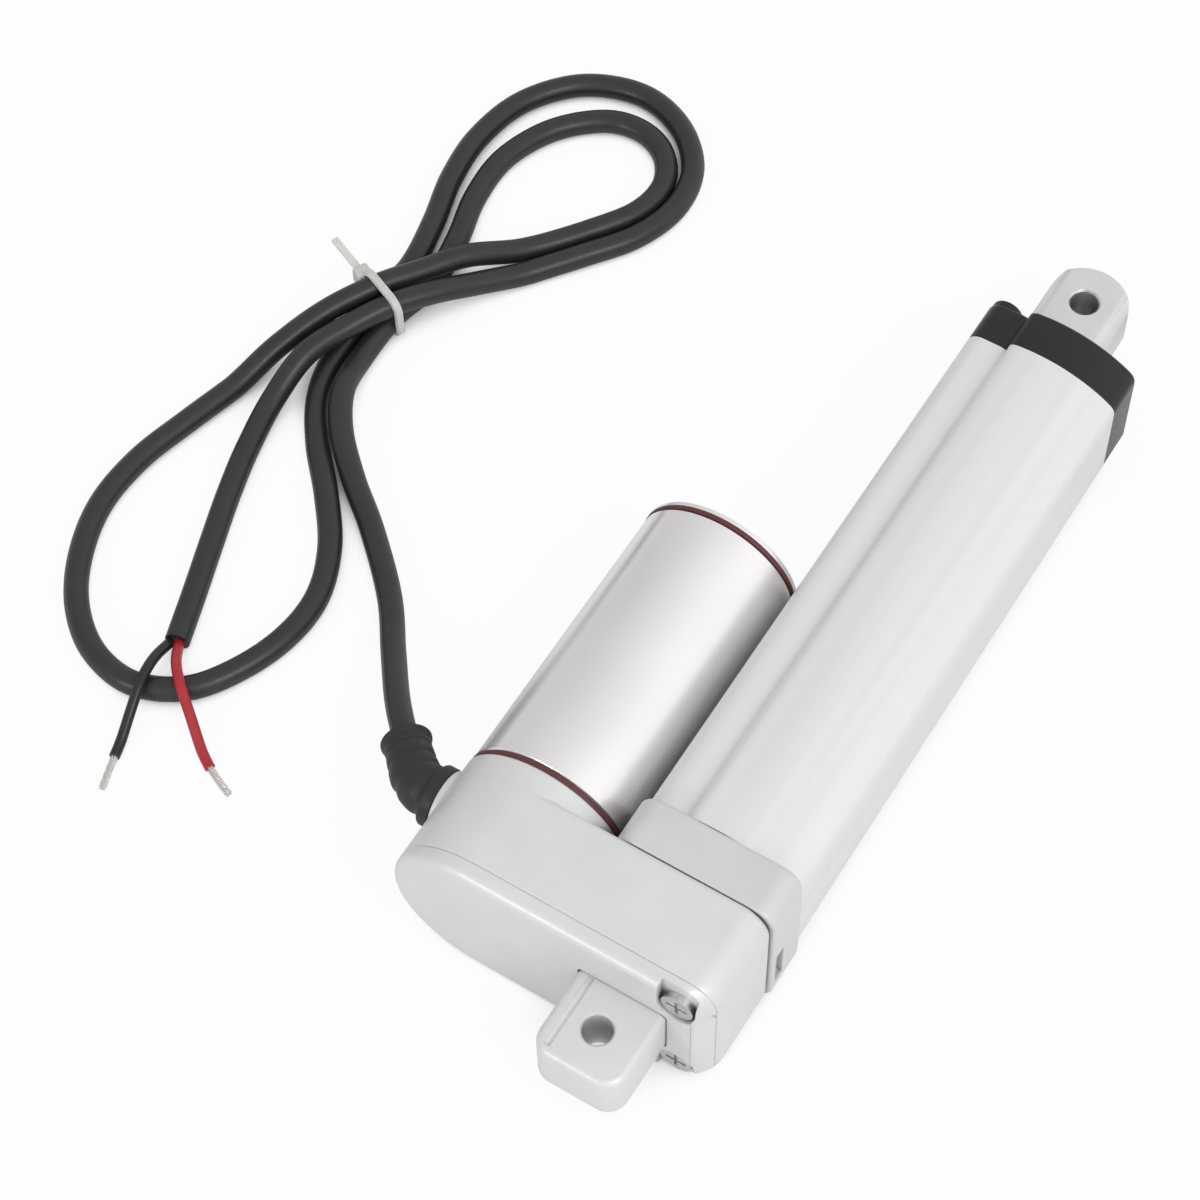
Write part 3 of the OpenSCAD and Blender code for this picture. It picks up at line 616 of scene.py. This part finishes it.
# Where the cord's centre line runs: from the strain relief to the floor, then in two loops up
# and down through the tie, and to the stripped end
GROUND = FLOOR + CORD_R
LOW = GROUND + 1.1  # the two lower strands in the tie
HIGH = LOW + 5.8  # the two upper strands, resting on them
CORD_START = (-71, 38.5, -3)
CORD_ROUTE = [
    CORD_START, (-79, 47, -6.5), (-88.5, 59, -12.5), (-98.5, 72, GROUND), (-111.5, 84.5, GROUND),
    (-122, 93, GROUND), (-131, 101.5, -13.6), (-136.4, 110.3, -12.2), (-139.2, 121, -15),
    (-139.4, 134.7, LOW), (-137.5, 148, GROUND), (-139.5, 162, GROUND), (-142.8, 175, GROUND),
    (-143.2, 188.5, GROUND),
    (-138, 201.5, GROUND), (-128.5, 210.5, GROUND), (-119, 212.3, GROUND), (-111, 208.5, GROUND),
    (-106.5, 200.5, GROUND), (-107.8, 190.5, GROUND), (-115.2, 179, GROUND), (-124.3, 167, -15.2),
    (-132.8, 156, -11), (-139, 146, -9.8), (-144.9, 136.8, HIGH),
    (-151.5, 125.5, -10.5), (-156.8, 113, -13.5), (-160, 100, GROUND), (-163.5, 87, GROUND),
    (-166.8, 73, GROUND), (-167, 59, GROUND), (-163, 46, GROUND), (-156, 35, GROUND),
    (-146, 27.3, GROUND), (-134, 25, GROUND), (-123, 30, GROUND), (-116, 40, GROUND),
    (-112, 52, GROUND), (-112, 64, GROUND), (-117, 76, GROUND), (-125.5, 87, GROUND),
    (-135, 97.5, GROUND), (-142.2, 108.5, GROUND), (-145.2, 120.5, GROUND), (-145.1, 136.5, LOW),
    (-144.6, 150, GROUND), (-147, 163, GROUND), (-150.8, 177, GROUND), (-152, 191, GROUND),
    (-148.7, 205.5, GROUND), (-139, 217.3, GROUND), (-125, 222, GROUND), (-112, 218, GROUND),
    (-103, 208.5, GROUND), (-100.6, 196.5, GROUND), (-104, 184.5, GROUND), (-111.7, 173.5, GROUND),
    (-120, 162.5, GROUND), (-127.5, 152, -13.4), (-133.4, 142.8, -10.4), (-139.1, 133.8, HIGH),
    (-144.2, 124.5, -9.8), (-148.5, 113.5, -10.6), (-149.6, 101.5, -14.4), (-147.8, 89, GROUND),
    (-144.2, 76, GROUND), (-140, 63.5, GROUND), (-135.5, 50.5, GROUND), (-131.5, 38.5, GROUND),
]
BLACK_ROUTE = [
    (-132.6, 37.6, -15.8), (-132, 31.5, -13), (-130.6, 25.3, -11.6), (-129.2, 19, -13.9),
    (-128, 13, -17.2), (-127, 9, FLOOR + 1.2),
]
RED_ROUTE = [
    (-130.8, 38.2, -15.8), (-127.2, 32.8, -12.8), (-122.6, 28.2, -11.6), (-117, 23.8, -14.2),
    (-111.6, 19.6, -17.3), (-108, 17.4, FLOOR + 1.2),
]
BLACK_TIP = [(-127, 9, FLOOR + 1.2), (-126, 5.5, FLOOR + 1.1), (-124.8, 1.5, FLOOR + 0.9)]
RED_TIP = [(-108, 17.4, FLOOR + 1.2), (-104.6, 15.8, FLOOR + 1.1), (-101, 14.4, FLOOR + 0.9)]
RELIEF_ROUTE = [
    (-57.5, RELIEF_Y, 0), (-60.5, 29.9, -0.2), (-63.2, 31.2, -0.6), (-65.4, 33.1, -1.3), CORD_START,
]


def route_length(route):
    """Length of a route in metres."""
    return float(np.linalg.norm(np.diff(route, axis=0), axis=1).sum()) * MM


def round_cord(name, points, diameter_m, material, replaces):
    """A cord as one open curve with a round section, through the points of its route."""
    route = smooth_route(points)
    route[:, 2] = np.maximum(route[:, 2], FLOOR + diameter_m / MM / 2)
    curve = bpy.data.curves.new(name, "CURVE")
    curve.dimensions = "3D"
    curve.bevel_depth = diameter_m / 2
    curve.bevel_resolution = 6
    curve.use_fill_caps = True
    spline = curve.splines.new("POLY")
    spline.points.add(len(route) - 1)
    spline.points.foreach_set("co", np.column_stack([route * MM, np.ones(len(route))]).ravel())
    spline.use_smooth = True
    obj = bpy.data.objects.new(name, curve)
    bpy.context.scene.collection.objects.link(obj)
    curve.materials.append(material)
    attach(obj, "housing")
    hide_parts(*replaces)
    return obj, route_length(route)


def stranded_tip(name, points, body_material):
    """Tinned strands at the end of a lead: six thin wires wound round a seventh."""
    route = smooth_route(points, 0.5)
    _, side, up = along(route)
    strands, strand_r, lay_r = 6, 0.27, 0.52
    travel = np.linspace(0, 1.3 * math.pi, len(route))
    parts = closed_run(sweep(route, np.full(len(route), strand_r), 8))
    for number in range(strands):
        turn = travel + 2 * math.pi * number / strands
        line = route + lay_r * (side * np.cos(turn)[:, None] + up * np.sin(turn)[:, None])
        parts += closed_run(sweep(line, np.full(len(route), strand_r), 8))
    return piece(name, parts, body_material, angle=60)


# ---- Operators ----


class ACTUATOR_OT_camera(bpy.types.Operator):
    """Places the camera above and behind the gearbox, looking down along the rod"""

    bl_idname = "actuator.camera"
    bl_label = "Camera"

    def execute(self, context):
        azimuth, elevation, roll = (math.radians(a) for a in (33.036, 58.431, -1.485))
        target, distance = Vector((-53.365, 86.884, 0)), 683.65
        ahead = Vector((-math.sin(azimuth), math.cos(azimuth), 0))
        back = Vector((0, 0, math.sin(elevation))) - ahead * math.cos(elevation)
        level = Vector((math.cos(azimuth), math.sin(azimuth), 0))
        raised = back.cross(level)
        right = level * math.cos(roll) + raised * math.sin(roll)
        above = raised * math.cos(roll) - level * math.sin(roll)
        lens = bpy.data.cameras.new("camera")
        lens.sensor_width = 36
        lens.lens = 96.62
        lens.clip_start = 0.01
        lens.clip_end = 20
        camera = bpy.data.objects.new("camera", lens)
        place = (target + back * distance) * MM
        camera.matrix_world = Matrix(
            [[right[k], above[k], back[k], place[k]] for k in range(3)] + [[0, 0, 0, 1]]
        )
        context.scene.collection.objects.link(camera)
        context.scene.camera = camera
        return {"FINISHED"}


class ACTUATOR_OT_cords(bpy.types.Operator):
    """Makes the power cord, its two leads with their tinned ends, and the cable tie"""

    bl_idname = "actuator.cords"
    bl_label = "Cord and leads"

    def execute(self, context):
        sizes, colours = context.scene.actuator_sizes, context.scene.actuator_colours
        tie = cable_tie()
        sheath = pvc_sheath("extruded PVC sheath", tuple(colours.cord))
        cord, cord_length = round_cord("cord", CORD_ROUTE, sizes.cord, sheath, ["power_cord"])
        tinned = worked_metal("tinned copper strand", "#DAD8D2", 0.34, 0.4)
        dark = pvc_sheath("black PVC insulation", hex_linear("#1B1B1D"), 0.32)
        red = pvc_sheath("red PVC insulation", tuple(colours.red), 0.32)
        leads = [
            ("black", BLACK_ROUTE, BLACK_TIP, dark, "lead_black"),
            ("red", RED_ROUTE, RED_TIP, red, "lead_red"),
        ]
        for name, points, tip_points, material, slot in leads:
            tip = stranded_tip(f"{name}_strands", tip_points, tinned)
            lead, lead_length = round_cord(
                f"{name}_insulated_lead", points, sizes.lead, material, [f"{name}_lead"]
            )
        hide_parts("lead_tips")
        return {"FINISHED"}


def cable_tie():
    """A strap carried round the four strands of the bundle, its head on the left, and its tail beyond."""
    centre = np.array([-142.1, 135.5, (LOW + HIGH) / 2])
    turn = math.radians(-23.5)
    across = np.array([math.cos(turn), math.sin(turn), 0])
    ahead = np.array([-math.sin(turn), math.cos(turn), 0])
    rise = np.array([0, 0, 1.0])
    wide, tall, width, thick = 6.4, 5.75, 2.1, 0.8
    inner = round_rect(-wide, wide, tall, 2.8, 2.8, 0, 10)
    outer = round_rect(-wide, wide, tall, 2.8, 2.8, -thick, 10)
    edge = 0.25
    section = [(inner, -width / 2), (outer, -width / 2 + edge), (outer, width / 2 - edge), (inner, width / 2)]
    rings = [centre + o[:, :1] * across + o[:, 1:] * rise + ahead * shift for o, shift in section]
    strap = surface(np.array(rings + rings[:1]))

    def strip(x0, x1, half, z0, z1, edge):
        """A flat bar across the bundle, with small round corners in section."""
        run = quarter_edges(x0, x1, edge, edge, 4)
        outline = [round_rect(-half, half, (z1 - z0) / 2, edge, edge, i, 4) for _, i in run]
        middle = centre + rise * (z0 + z1) / 2
        rings = [
            middle + across * x + o[:, :1] * ahead + o[:, 1:] * rise for (x, _), o in zip(run, outline)
        ]
        return closed_run(np.array(rings))

    left = -wide - thick
    head = strip(left - 3.4, left + 0.2, 1.9, -1.5, 2.8, 0.5)
    tail = strip(left - 14, left - 3.2, 0.9, 1, 1.8, 0.25)
    nylon = natural_nylon("natural nylon")
    return piece("tie", [strap] + head + tail, nylon, replaces=["cable_tie"])


class ACTUATOR_OT_gearbox(bpy.types.Operator):
    """Makes the gearbox castings and the tail lug"""

    bl_idname = "actuator.gearbox"
    bl_label = "Gearbox"

    def execute(self, context):
        sizes, colours = context.scene.actuator_sizes, context.scene.actuator_colours
        paint = silver_paint("silver paint on die casting", tuple(colours.casting))
        edge, seam, front = sizes.cast_edge / MM, 0.25, 1.6
        run = quarter_edges(COVER_Y0, HOUSING_Y0, edge, seam)
        shell = closed_run(np.array([gear_ring(y, i) for y, i in run]))
        gap, slot_deep = 0.2, 1.2
        slot_ring = round_rect(-LUG_X - gap, LUG_X + gap, EYE_T / 2 + gap, 1.2, 1.2)
        lug_slot = prism(slot_ring, COVER_Y0 - PAST, COVER_Y0 + slot_deep)
        pockets = [scallop(side, COVER_Y0 - PAST, POCKET_Y1) for side in (-1, 1)]
        dimple_x, dimple_z, dimple_r, dimple_y1 = 19.0, 10.9, 0.9, 12.9
        dimple = post(dimple_x, dimple_z, dimple_r, COVER_Y0 - PAST, dimple_y1, 24)
        piece(
            "cover_casting", shell, paint, replaces=["rear_cover"],
            cutters=[lug_slot, dimple] + pockets,
        )

        steps = np.linspace(HOUSING_Y0 + 1, COVER_Y0 + PLAN_R + 1, 5)
        run = quarter_edges(HOUSING_Y0, HOUSING_Y1, seam, front)
        middle = np.stack([steps, 0 * steps], axis=-1)
        run = np.concatenate([run[:7], middle, run[7:]])
        box = closed_run(np.array([gear_ring(y, i) for y, i in run]))
        root, lip = HOUSING_Y1 - 6, 0.4
        profile = [(root, 0), (root, BODY_H), (NECK_Y1 - lip, BODY_H), (NECK_Y1, BODY_H - lip), (NECK_Y1, 0)]
        neck = [lathe(profile, MOTOR_X)]
        boss = exit_disc(-50, 6.8, 5.2, 0.1, 0.3)
        piece("housing_casting", box + neck + boss, paint, replaces=["gear_housing"])
        tail_lug(sizes.lug_edge / MM, paint)
        return {"FINISHED"}


def tail_lug(edge, paint):
    """A thick tongue with round corners and edges, a chamfered hole and a fine groove along its top."""
    corner, root_y, line_x = 4.5, 13, -6.8
    run = quarter_edges(-EYE_T / 2, EYE_T / 2, edge, edge)

    def tongue(inset):
        x, y0, y1 = LUG_X - inset, LUG_Y0 + inset, root_y
        r = corner - inset
        left, right = arc(r - x, y0 + r, r, 180, 270, 12), arc(x - r, y0 + r, r, 270, 360, 12)
        return np.concatenate([[(x, y1)], [(-x, y1)], left, right])

    body = closed_run(np.array([at_z(tongue(inset), z) for z, inset in run]))
    line = post(line_x, EYE_T / 2 + 0.3, 0.75, LUG_Y0 + 2, COVER_Y0 - 0.2, 24)
    piece(
        "tail_lug_casting", body, paint, replaces=["tail_lug"], cutters=[pin_hole(0), line]
    )


class ACTUATOR_OT_motor(bpy.types.Operator):
    """Makes the motor can, its end cap and the seal ring at each end"""

    bl_idname = "actuator.motor"
    bl_label = "Motor"

    def execute(self, context):
        colours = context.scene.actuator_colours
        plating = plated_can("nickel plated steel", tuple(colours.motor))
        seal = moulded("painted seal", tuple(colours.gasket), 0.5)
        r, wall, lip, proud, slope = MOTOR_R, 1.2, 0.5, 0.15, 0.25
        can = [(CAN_Y0, r - wall), (CAN_Y0, r - lip), (CAN_Y0 + lip, r), (CAN_Y1 - lip, r), (CAN_Y1, r - lip)]
        can += [(CAN_Y1, r - wall), can[0]]
        piece("can", [lathe(can, MOTOR_X, steps=160)], plating, replaces=["motor_can"])
        for name, node, inner in (("front_seal", "seam_gasket", 15.3), ("end_seal", "end_gasket", r - wall)):
            y0, y1 = span(node, 1)
            ring = [(y0, inner), (y0, r), (y0 + slope, r + proud), (y1 - slope, r + proud), (y1, r)]
            ring += [(y1, inner), ring[0]]
            piece(name, [lathe(ring, MOTOR_X, steps=128)], seal, replaces=[node])
        face, dished, nib = MOTOR_Y1, MOTOR_Y1 - 0.5, MOTOR_Y1 + 0.6
        end = [(CAN_Y1 + 1, 0), (CAN_Y1 + 1, r), (face - 0.6, r), (face - 0.15, r - 0.2), (face, r - 0.7)]
        end += [(face, r - 3), (dished, r - 3.5), (dished, 7), (nib, 6), (nib, 2.6), (face, 2.2), (face, 0)]
        cap = [lathe(end, MOTOR_X, steps=128)]
        piece("end_cap", cap, plating, replaces=["motor_end_cap"])
        return {"FINISHED"}


class ACTUATOR_OT_tube(bpy.types.Operator):
    """Makes the collar, the outer tube and the black front cap"""

    bl_idname = "actuator.tube"
    bl_label = "Outer tube"

    def execute(self, context):
        sizes, colours = context.scene.actuator_sizes, context.scene.actuator_colours
        grey = silver_paint("grey paint on die casting", tuple(colours.collar))
        x0, x1 = span("tube_collar", 0)
        half = span("tube_collar", 2)[1]
        run = quarter_edges(COLLAR_Y0, TUBE_Y0, 0.6, 1.2)
        body = edged_bar(lambda inset: round_rect(x0, x1, half, 5, 5, inset), run)
        slot_half, slot_z, slot_y0, slot_y1 = 5.5, -6, 34.3, 37.2
        slot_ring = round_rect(x1 - 1.2, x1 + 2, slot_half, 0.5, 0.5) + (0, slot_z)
        slot = prism(slot_ring, slot_y0, slot_y1)
        piece("collar", body, grey, replaces=["tube_collar"], cutters=[slot])
        groove = sizes.groove / MM
        shell = anodised_extrusion("clear anodised extrusion", tuple(colours.tube))
        rings = np.array([at_y(tube_outline(0, groove), y) for y in (TUBE_Y0, TUBE_Y1)])
        bore = lathe([(TUBE_Y0, BORE_R), (TUBE_Y1, BORE_R)])
        parts = [surface(rings), bore] + self.end_faces(groove)
        piece("tube", parts, shell, replaces=["outer_tube"])
        plastic = moulded("moulded ABS", tuple(colours.plastic), 0.3, 0.6, 0.02)
        run = quarter_edges(TUBE_Y1, CAP_Y1, 0.3, sizes.cap_edge / MM)
        body = edged_bar(lambda inset: tube_outline(inset, groove), run)
        past, pad_face = CAP_Y1 + PAST, CAP_Y1 + CAP_PAD
        well = post(0, 0, 13, CAP_Y1 - 3.5, past, 96)
        cutters = [well, post(0, 0, ROD_R + 0.3, TUBE_Y1 - PAST, past, 96)]
        for x, z in CAP_SCREWS:
            face = pad_face if x < 0 else CAP_Y1
            cutters.append(post(x, z, CAP_SCREW_R, face - 1.6, past))
        piece("cap", body, plastic, replaces=["front_cap"], cutters=cutters)
        run = quarter_edges(CAP_Y1 - 0.5, pad_face, 0.1, 0.4)
        for name, (x, z) in zip(("upper", "lower"), CAP_SCREWS):
            pad = edged_bar(lambda inset: arc(x, z, 3.6 - inset, 0, 360 - 7.5, 48), run)
            hollow = post(x, z, CAP_SCREW_R, pad_face - 1.4, past)
            piece(f"cap_pad_{name}", pad, plastic, cutters=[well, hollow])
        return {"FINISHED"}

    @staticmethod
    def end_faces(groove):
        """Flat ends between the tube's outline and its bore, joined angle by angle."""
        outline = tube_outline(0, groove)
        turn = np.arctan2(outline[:, 1], outline[:, 0])
        inner = BORE_R * np.stack([np.cos(turn), np.sin(turn)], axis=-1)
        return [surface(np.array([at_y(outline, y), at_y(inner, y)])) for y in (TUBE_Y0, TUBE_Y1)]


class ACTUATOR_OT_rod(bpy.types.Operator):
    """Makes the rod and its end with two flats and a hole"""

    bl_idname = "actuator.rod"
    bl_label = "Rod"

    def execute(self, context):
        colours = context.scene.actuator_colours
        steel = ground_steel("ground steel", tuple(colours.rod))
        inner = 7.5
        bar = [(ROD_Y0, inner), (ROD_Y0, ROD_R), (ROD_Y1, ROD_R), (ROD_Y1, inner), (ROD_Y0, inner)]
        piece("rod", [lathe(bar)], steel, body="rod", replaces=["rod_tube"])
        shoulder = ROD_Y1 + 3.5
        chamfer = 0.8
        stub = [(ROD_Y1, 0), (ROD_Y1, ROD_R), (shoulder, ROD_R), (shoulder + chamfer, ROD_R - chamfer)]
        stub = lathe(stub + [(shoulder + chamfer, 0)])
        run = quarter_edges(-EYE_T / 2, EYE_T / 2, 0.9, 0.9)
        middle = [(z, 0) for z in np.linspace(-5, 5, 11)]
        levels = np.concatenate([run[:7], middle, run[7:]])
        rings = np.array([self.level(shoulder - 1, z, inset) for z, inset in levels])
        piece("rod_shoulder", [stub], steel, body="rod")
        piece(
            "rod_eye", closed_run(rings), steel, body="rod", replaces=["rod_end"],
            cutters=[pin_hole(EYE_Y)],
        )
        return {"FINISHED"}

    @staticmethod
    def level(y0, z, inset):
        """Outline of the rod end at a height: as wide as the round rod is there, with a half-round nose."""
        wide = math.sqrt(ROD_R**2 - min(abs(z), EYE_T / 2) ** 2) - inset
        nose = ROD_R - inset
        start = math.degrees(math.acos(wide / nose))
        tip = arc(0, EYE_Y, nose, start, 180 - start, 40)
        return at_z(np.concatenate([[(-wide, y0)], [(wide, y0)], tip]), z)


class ACTUATOR_OT_relief(bpy.types.Operator):
    """Makes the rubber elbow that the cord leaves through"""

    bl_idname = "actuator.relief"
    bl_label = "Strain relief"

    def execute(self, context):
        rubber = moulded("moulded rubber", hex_linear("#202021"), 0.5, 0.7, 0.04)
        route = smooth_route(RELIEF_ROUTE, 0.35)
        travel = np.linspace(0, 1, len(route))
        radii = 5.9 - 1.1 * travel - 0.35 * np.maximum(0, np.sin(travel * 2 * math.pi * 4)) * (travel < 0.8)
        radii += 0.7 * np.exp(-(((travel - 0.95) / 0.045) ** 2))
        radii[-2:] -= (0.3, 0.9)
        elbow = closed_run(sweep(route, radii, 40))
        flange = exit_disc(-55.2, 6.9, 3, 0.3, 0.9)
        piece("cord_elbow", elbow + flange, rubber, replaces=["strain_relief"])
        return {"FINISHED"}


class ACTUATOR_OT_inner(bpy.types.Operator):
    """Gives each remaining CAD node its material"""

    bl_idname = "actuator.inner"
    bl_label = "Inner parts"

    def execute(self, context):
        for name, nodes in INNER_NODES.items():
            kind, code, *values = INNER_FINISHES[name]
            if kind == "metal":
                material = worked_metal(name, code, *values)
            else:
                material = moulded(name, hex_linear(code), *values)
            for node in nodes:
                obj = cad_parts[node]
                obj.data.materials.clear()
                obj.data.materials.append(material)
        return {"FINISHED"}


class ACTUATOR_OT_stage(bpy.types.Operator):
    """Makes the plain pale floor, the soft lamps and the world"""

    bl_idname = "actuator.stage"
    bl_label = "Stage"

    def execute(self, context):
        scene = context.scene
        scene.view_settings.view_transform = "Standard"
        size = 4000
        corners = np.array([(x * size, y * size, FLOOR) for x, y in ((-1, -1), (1, -1), (1, 1), (-1, 1))])
        mesh = bpy.data.meshes.new("floor")
        mesh.from_pydata((corners * MM).tolist(), [], [[0, 1, 2, 3]])
        floor = bpy.data.objects.new("floor", mesh)
        scene.collection.objects.link(floor)
        mesh.materials.append(self.floor_material())
        self.world(scene)
        self.lamp(scene, "key", (750, -250, 900), (-40, 80, 0), 500, 3.4)
        self.lamp(scene, "edge", (-300, -800, 420), (-20, 20, 0), 160, 1.3)
        return {"FINISHED"}

    @staticmethod
    def lamp(scene, name, place, target, size, power):
        light = bpy.data.lights.new(name, "AREA")
        light.shape = "DISK"
        light.size = size * MM
        light.energy = power
        lamp = bpy.data.objects.new(name, light)
        aim = Vector(target) - Vector(place)
        turned = aim.to_track_quat("-Z", "Y").to_matrix().to_4x4()
        lamp.matrix_world = Matrix.Translation(Vector(place) * MM) @ turned
        scene.collection.objects.link(lamp)

    @staticmethod
    def floor_material():
        """White studio sweep: it takes the object's shadow faintly and is otherwise white to the camera."""
        material = bpy.data.materials.new("white studio floor")
        material.use_nodes = True
        tree = material.node_tree
        tree.nodes.clear()
        paint = add_node(tree, "ShaderNodeBsdfDiffuse", {"Color": (0.82, 0.82, 0.82, 1)})
        glow = add_node(tree, "ShaderNodeEmission", {"Color": (1, 1, 1, 1), "Strength": 1.0})
        path = add_node(tree, "ShaderNodeLightPath")
        cover = add_node(tree, "ShaderNodeAmbientOcclusion", {"Distance": 20 * MM}, samples=8)
        white = add_node(
            tree,
            "ShaderNodeMapRange",
            {"Value": cover.outputs["AO"], "From Min": 0.15, "From Max": 0.5, "To Min": 0.0, "To Max": 0.93},
        )
        factors = {0: path.outputs["Is Camera Ray"], 1: white.outputs[0]}
        seen = add_node(tree, "ShaderNodeMath", factors, operation="MULTIPLY")
        shades = {0: seen.outputs[0], 1: paint.outputs[0], 2: glow.outputs[0]}
        mix = add_node(tree, "ShaderNodeMixShader", shades)
        add_node(tree, "ShaderNodeOutputMaterial", {"Surface": mix.outputs[0]})
        return material

    @staticmethod
    def world(scene):
        """Soft white light, stronger from the right (+X) than from the left, and white to the camera."""
        world = bpy.data.worlds.new("studio")
        scene.world = world
        world.use_nodes = True
        tree = world.node_tree
        tree.nodes.clear()
        place = add_node(tree, "ShaderNodeTexCoord")
        sides = add_node(tree, "ShaderNodeSeparateXYZ", {0: place.outputs["Generated"]})
        light = add_node(
            tree,
            "ShaderNodeMapRange",
            {"Value": sides.outputs["X"], "From Min": -0.9, "From Max": 0.7, "To Min": 0.61, "To Max": 1.02},
        )
        path = add_node(tree, "ShaderNodeLightPath")
        seen = add_node(
            tree,
            "ShaderNodeMath",
            {0: path.outputs["Is Camera Ray"], 1: path.outputs["Is Transmission Ray"]},
            operation="MAXIMUM",
        )
        strength = add_node(
            tree,
            "ShaderNodeMapRange",
            {"Value": seen.outputs[0], "To Min": light.outputs[0], "To Max": 1.0},
        )
        sky = add_node(tree, "ShaderNodeBackground", {"Color": (1, 1, 1, 1), "Strength": strength.outputs[0]})
        add_node(tree, "ShaderNodeOutputWorld", {"Surface": sky.outputs[0]})


STEPS = (
    ACTUATOR_OT_camera,
    ACTUATOR_OT_cords,
    ACTUATOR_OT_gearbox,
    ACTUATOR_OT_motor,
    ACTUATOR_OT_tube,
    ACTUATOR_OT_rod,
    ACTUATOR_OT_relief,
    ACTUATOR_OT_inner,
    ACTUATOR_OT_stage,
)


class ACTUATOR_PT_panel(bpy.types.Panel):
    """Lists the actuator's steps and its sizes and colours"""

    bl_idname = "ACTUATOR_PT_panel"
    bl_label = "Linear Actuator"
    bl_space_type = "VIEW_3D"
    bl_region_type = "UI"
    bl_category = "Actuator"

    def draw(self, context):
        for step in STEPS:
            self.layout.operator(step.bl_idname)
        for group in (context.scene.actuator_sizes, context.scene.actuator_colours):
            for name in group.__annotations__:
                self.layout.prop(group, name)


CLASSES = (ActuatorSizes, ActuatorColours, *STEPS, ACTUATOR_PT_panel)


def register():
    for cls in CLASSES:
        bpy.utils.register_class(cls)
    bpy.types.Scene.actuator_sizes = PointerProperty(type=ActuatorSizes)
    bpy.types.Scene.actuator_colours = PointerProperty(type=ActuatorColours)


def unregister():
    del bpy.types.Scene.actuator_colours
    del bpy.types.Scene.actuator_sizes
    for cls in reversed(CLASSES):
        bpy.utils.unregister_class(cls)


def main():
    register()
    for step in STEPS:
        group, name = step.bl_idname.split(".")
        getattr(getattr(bpy.ops, group), name)()
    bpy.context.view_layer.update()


if __name__ == "__main__":
    main()
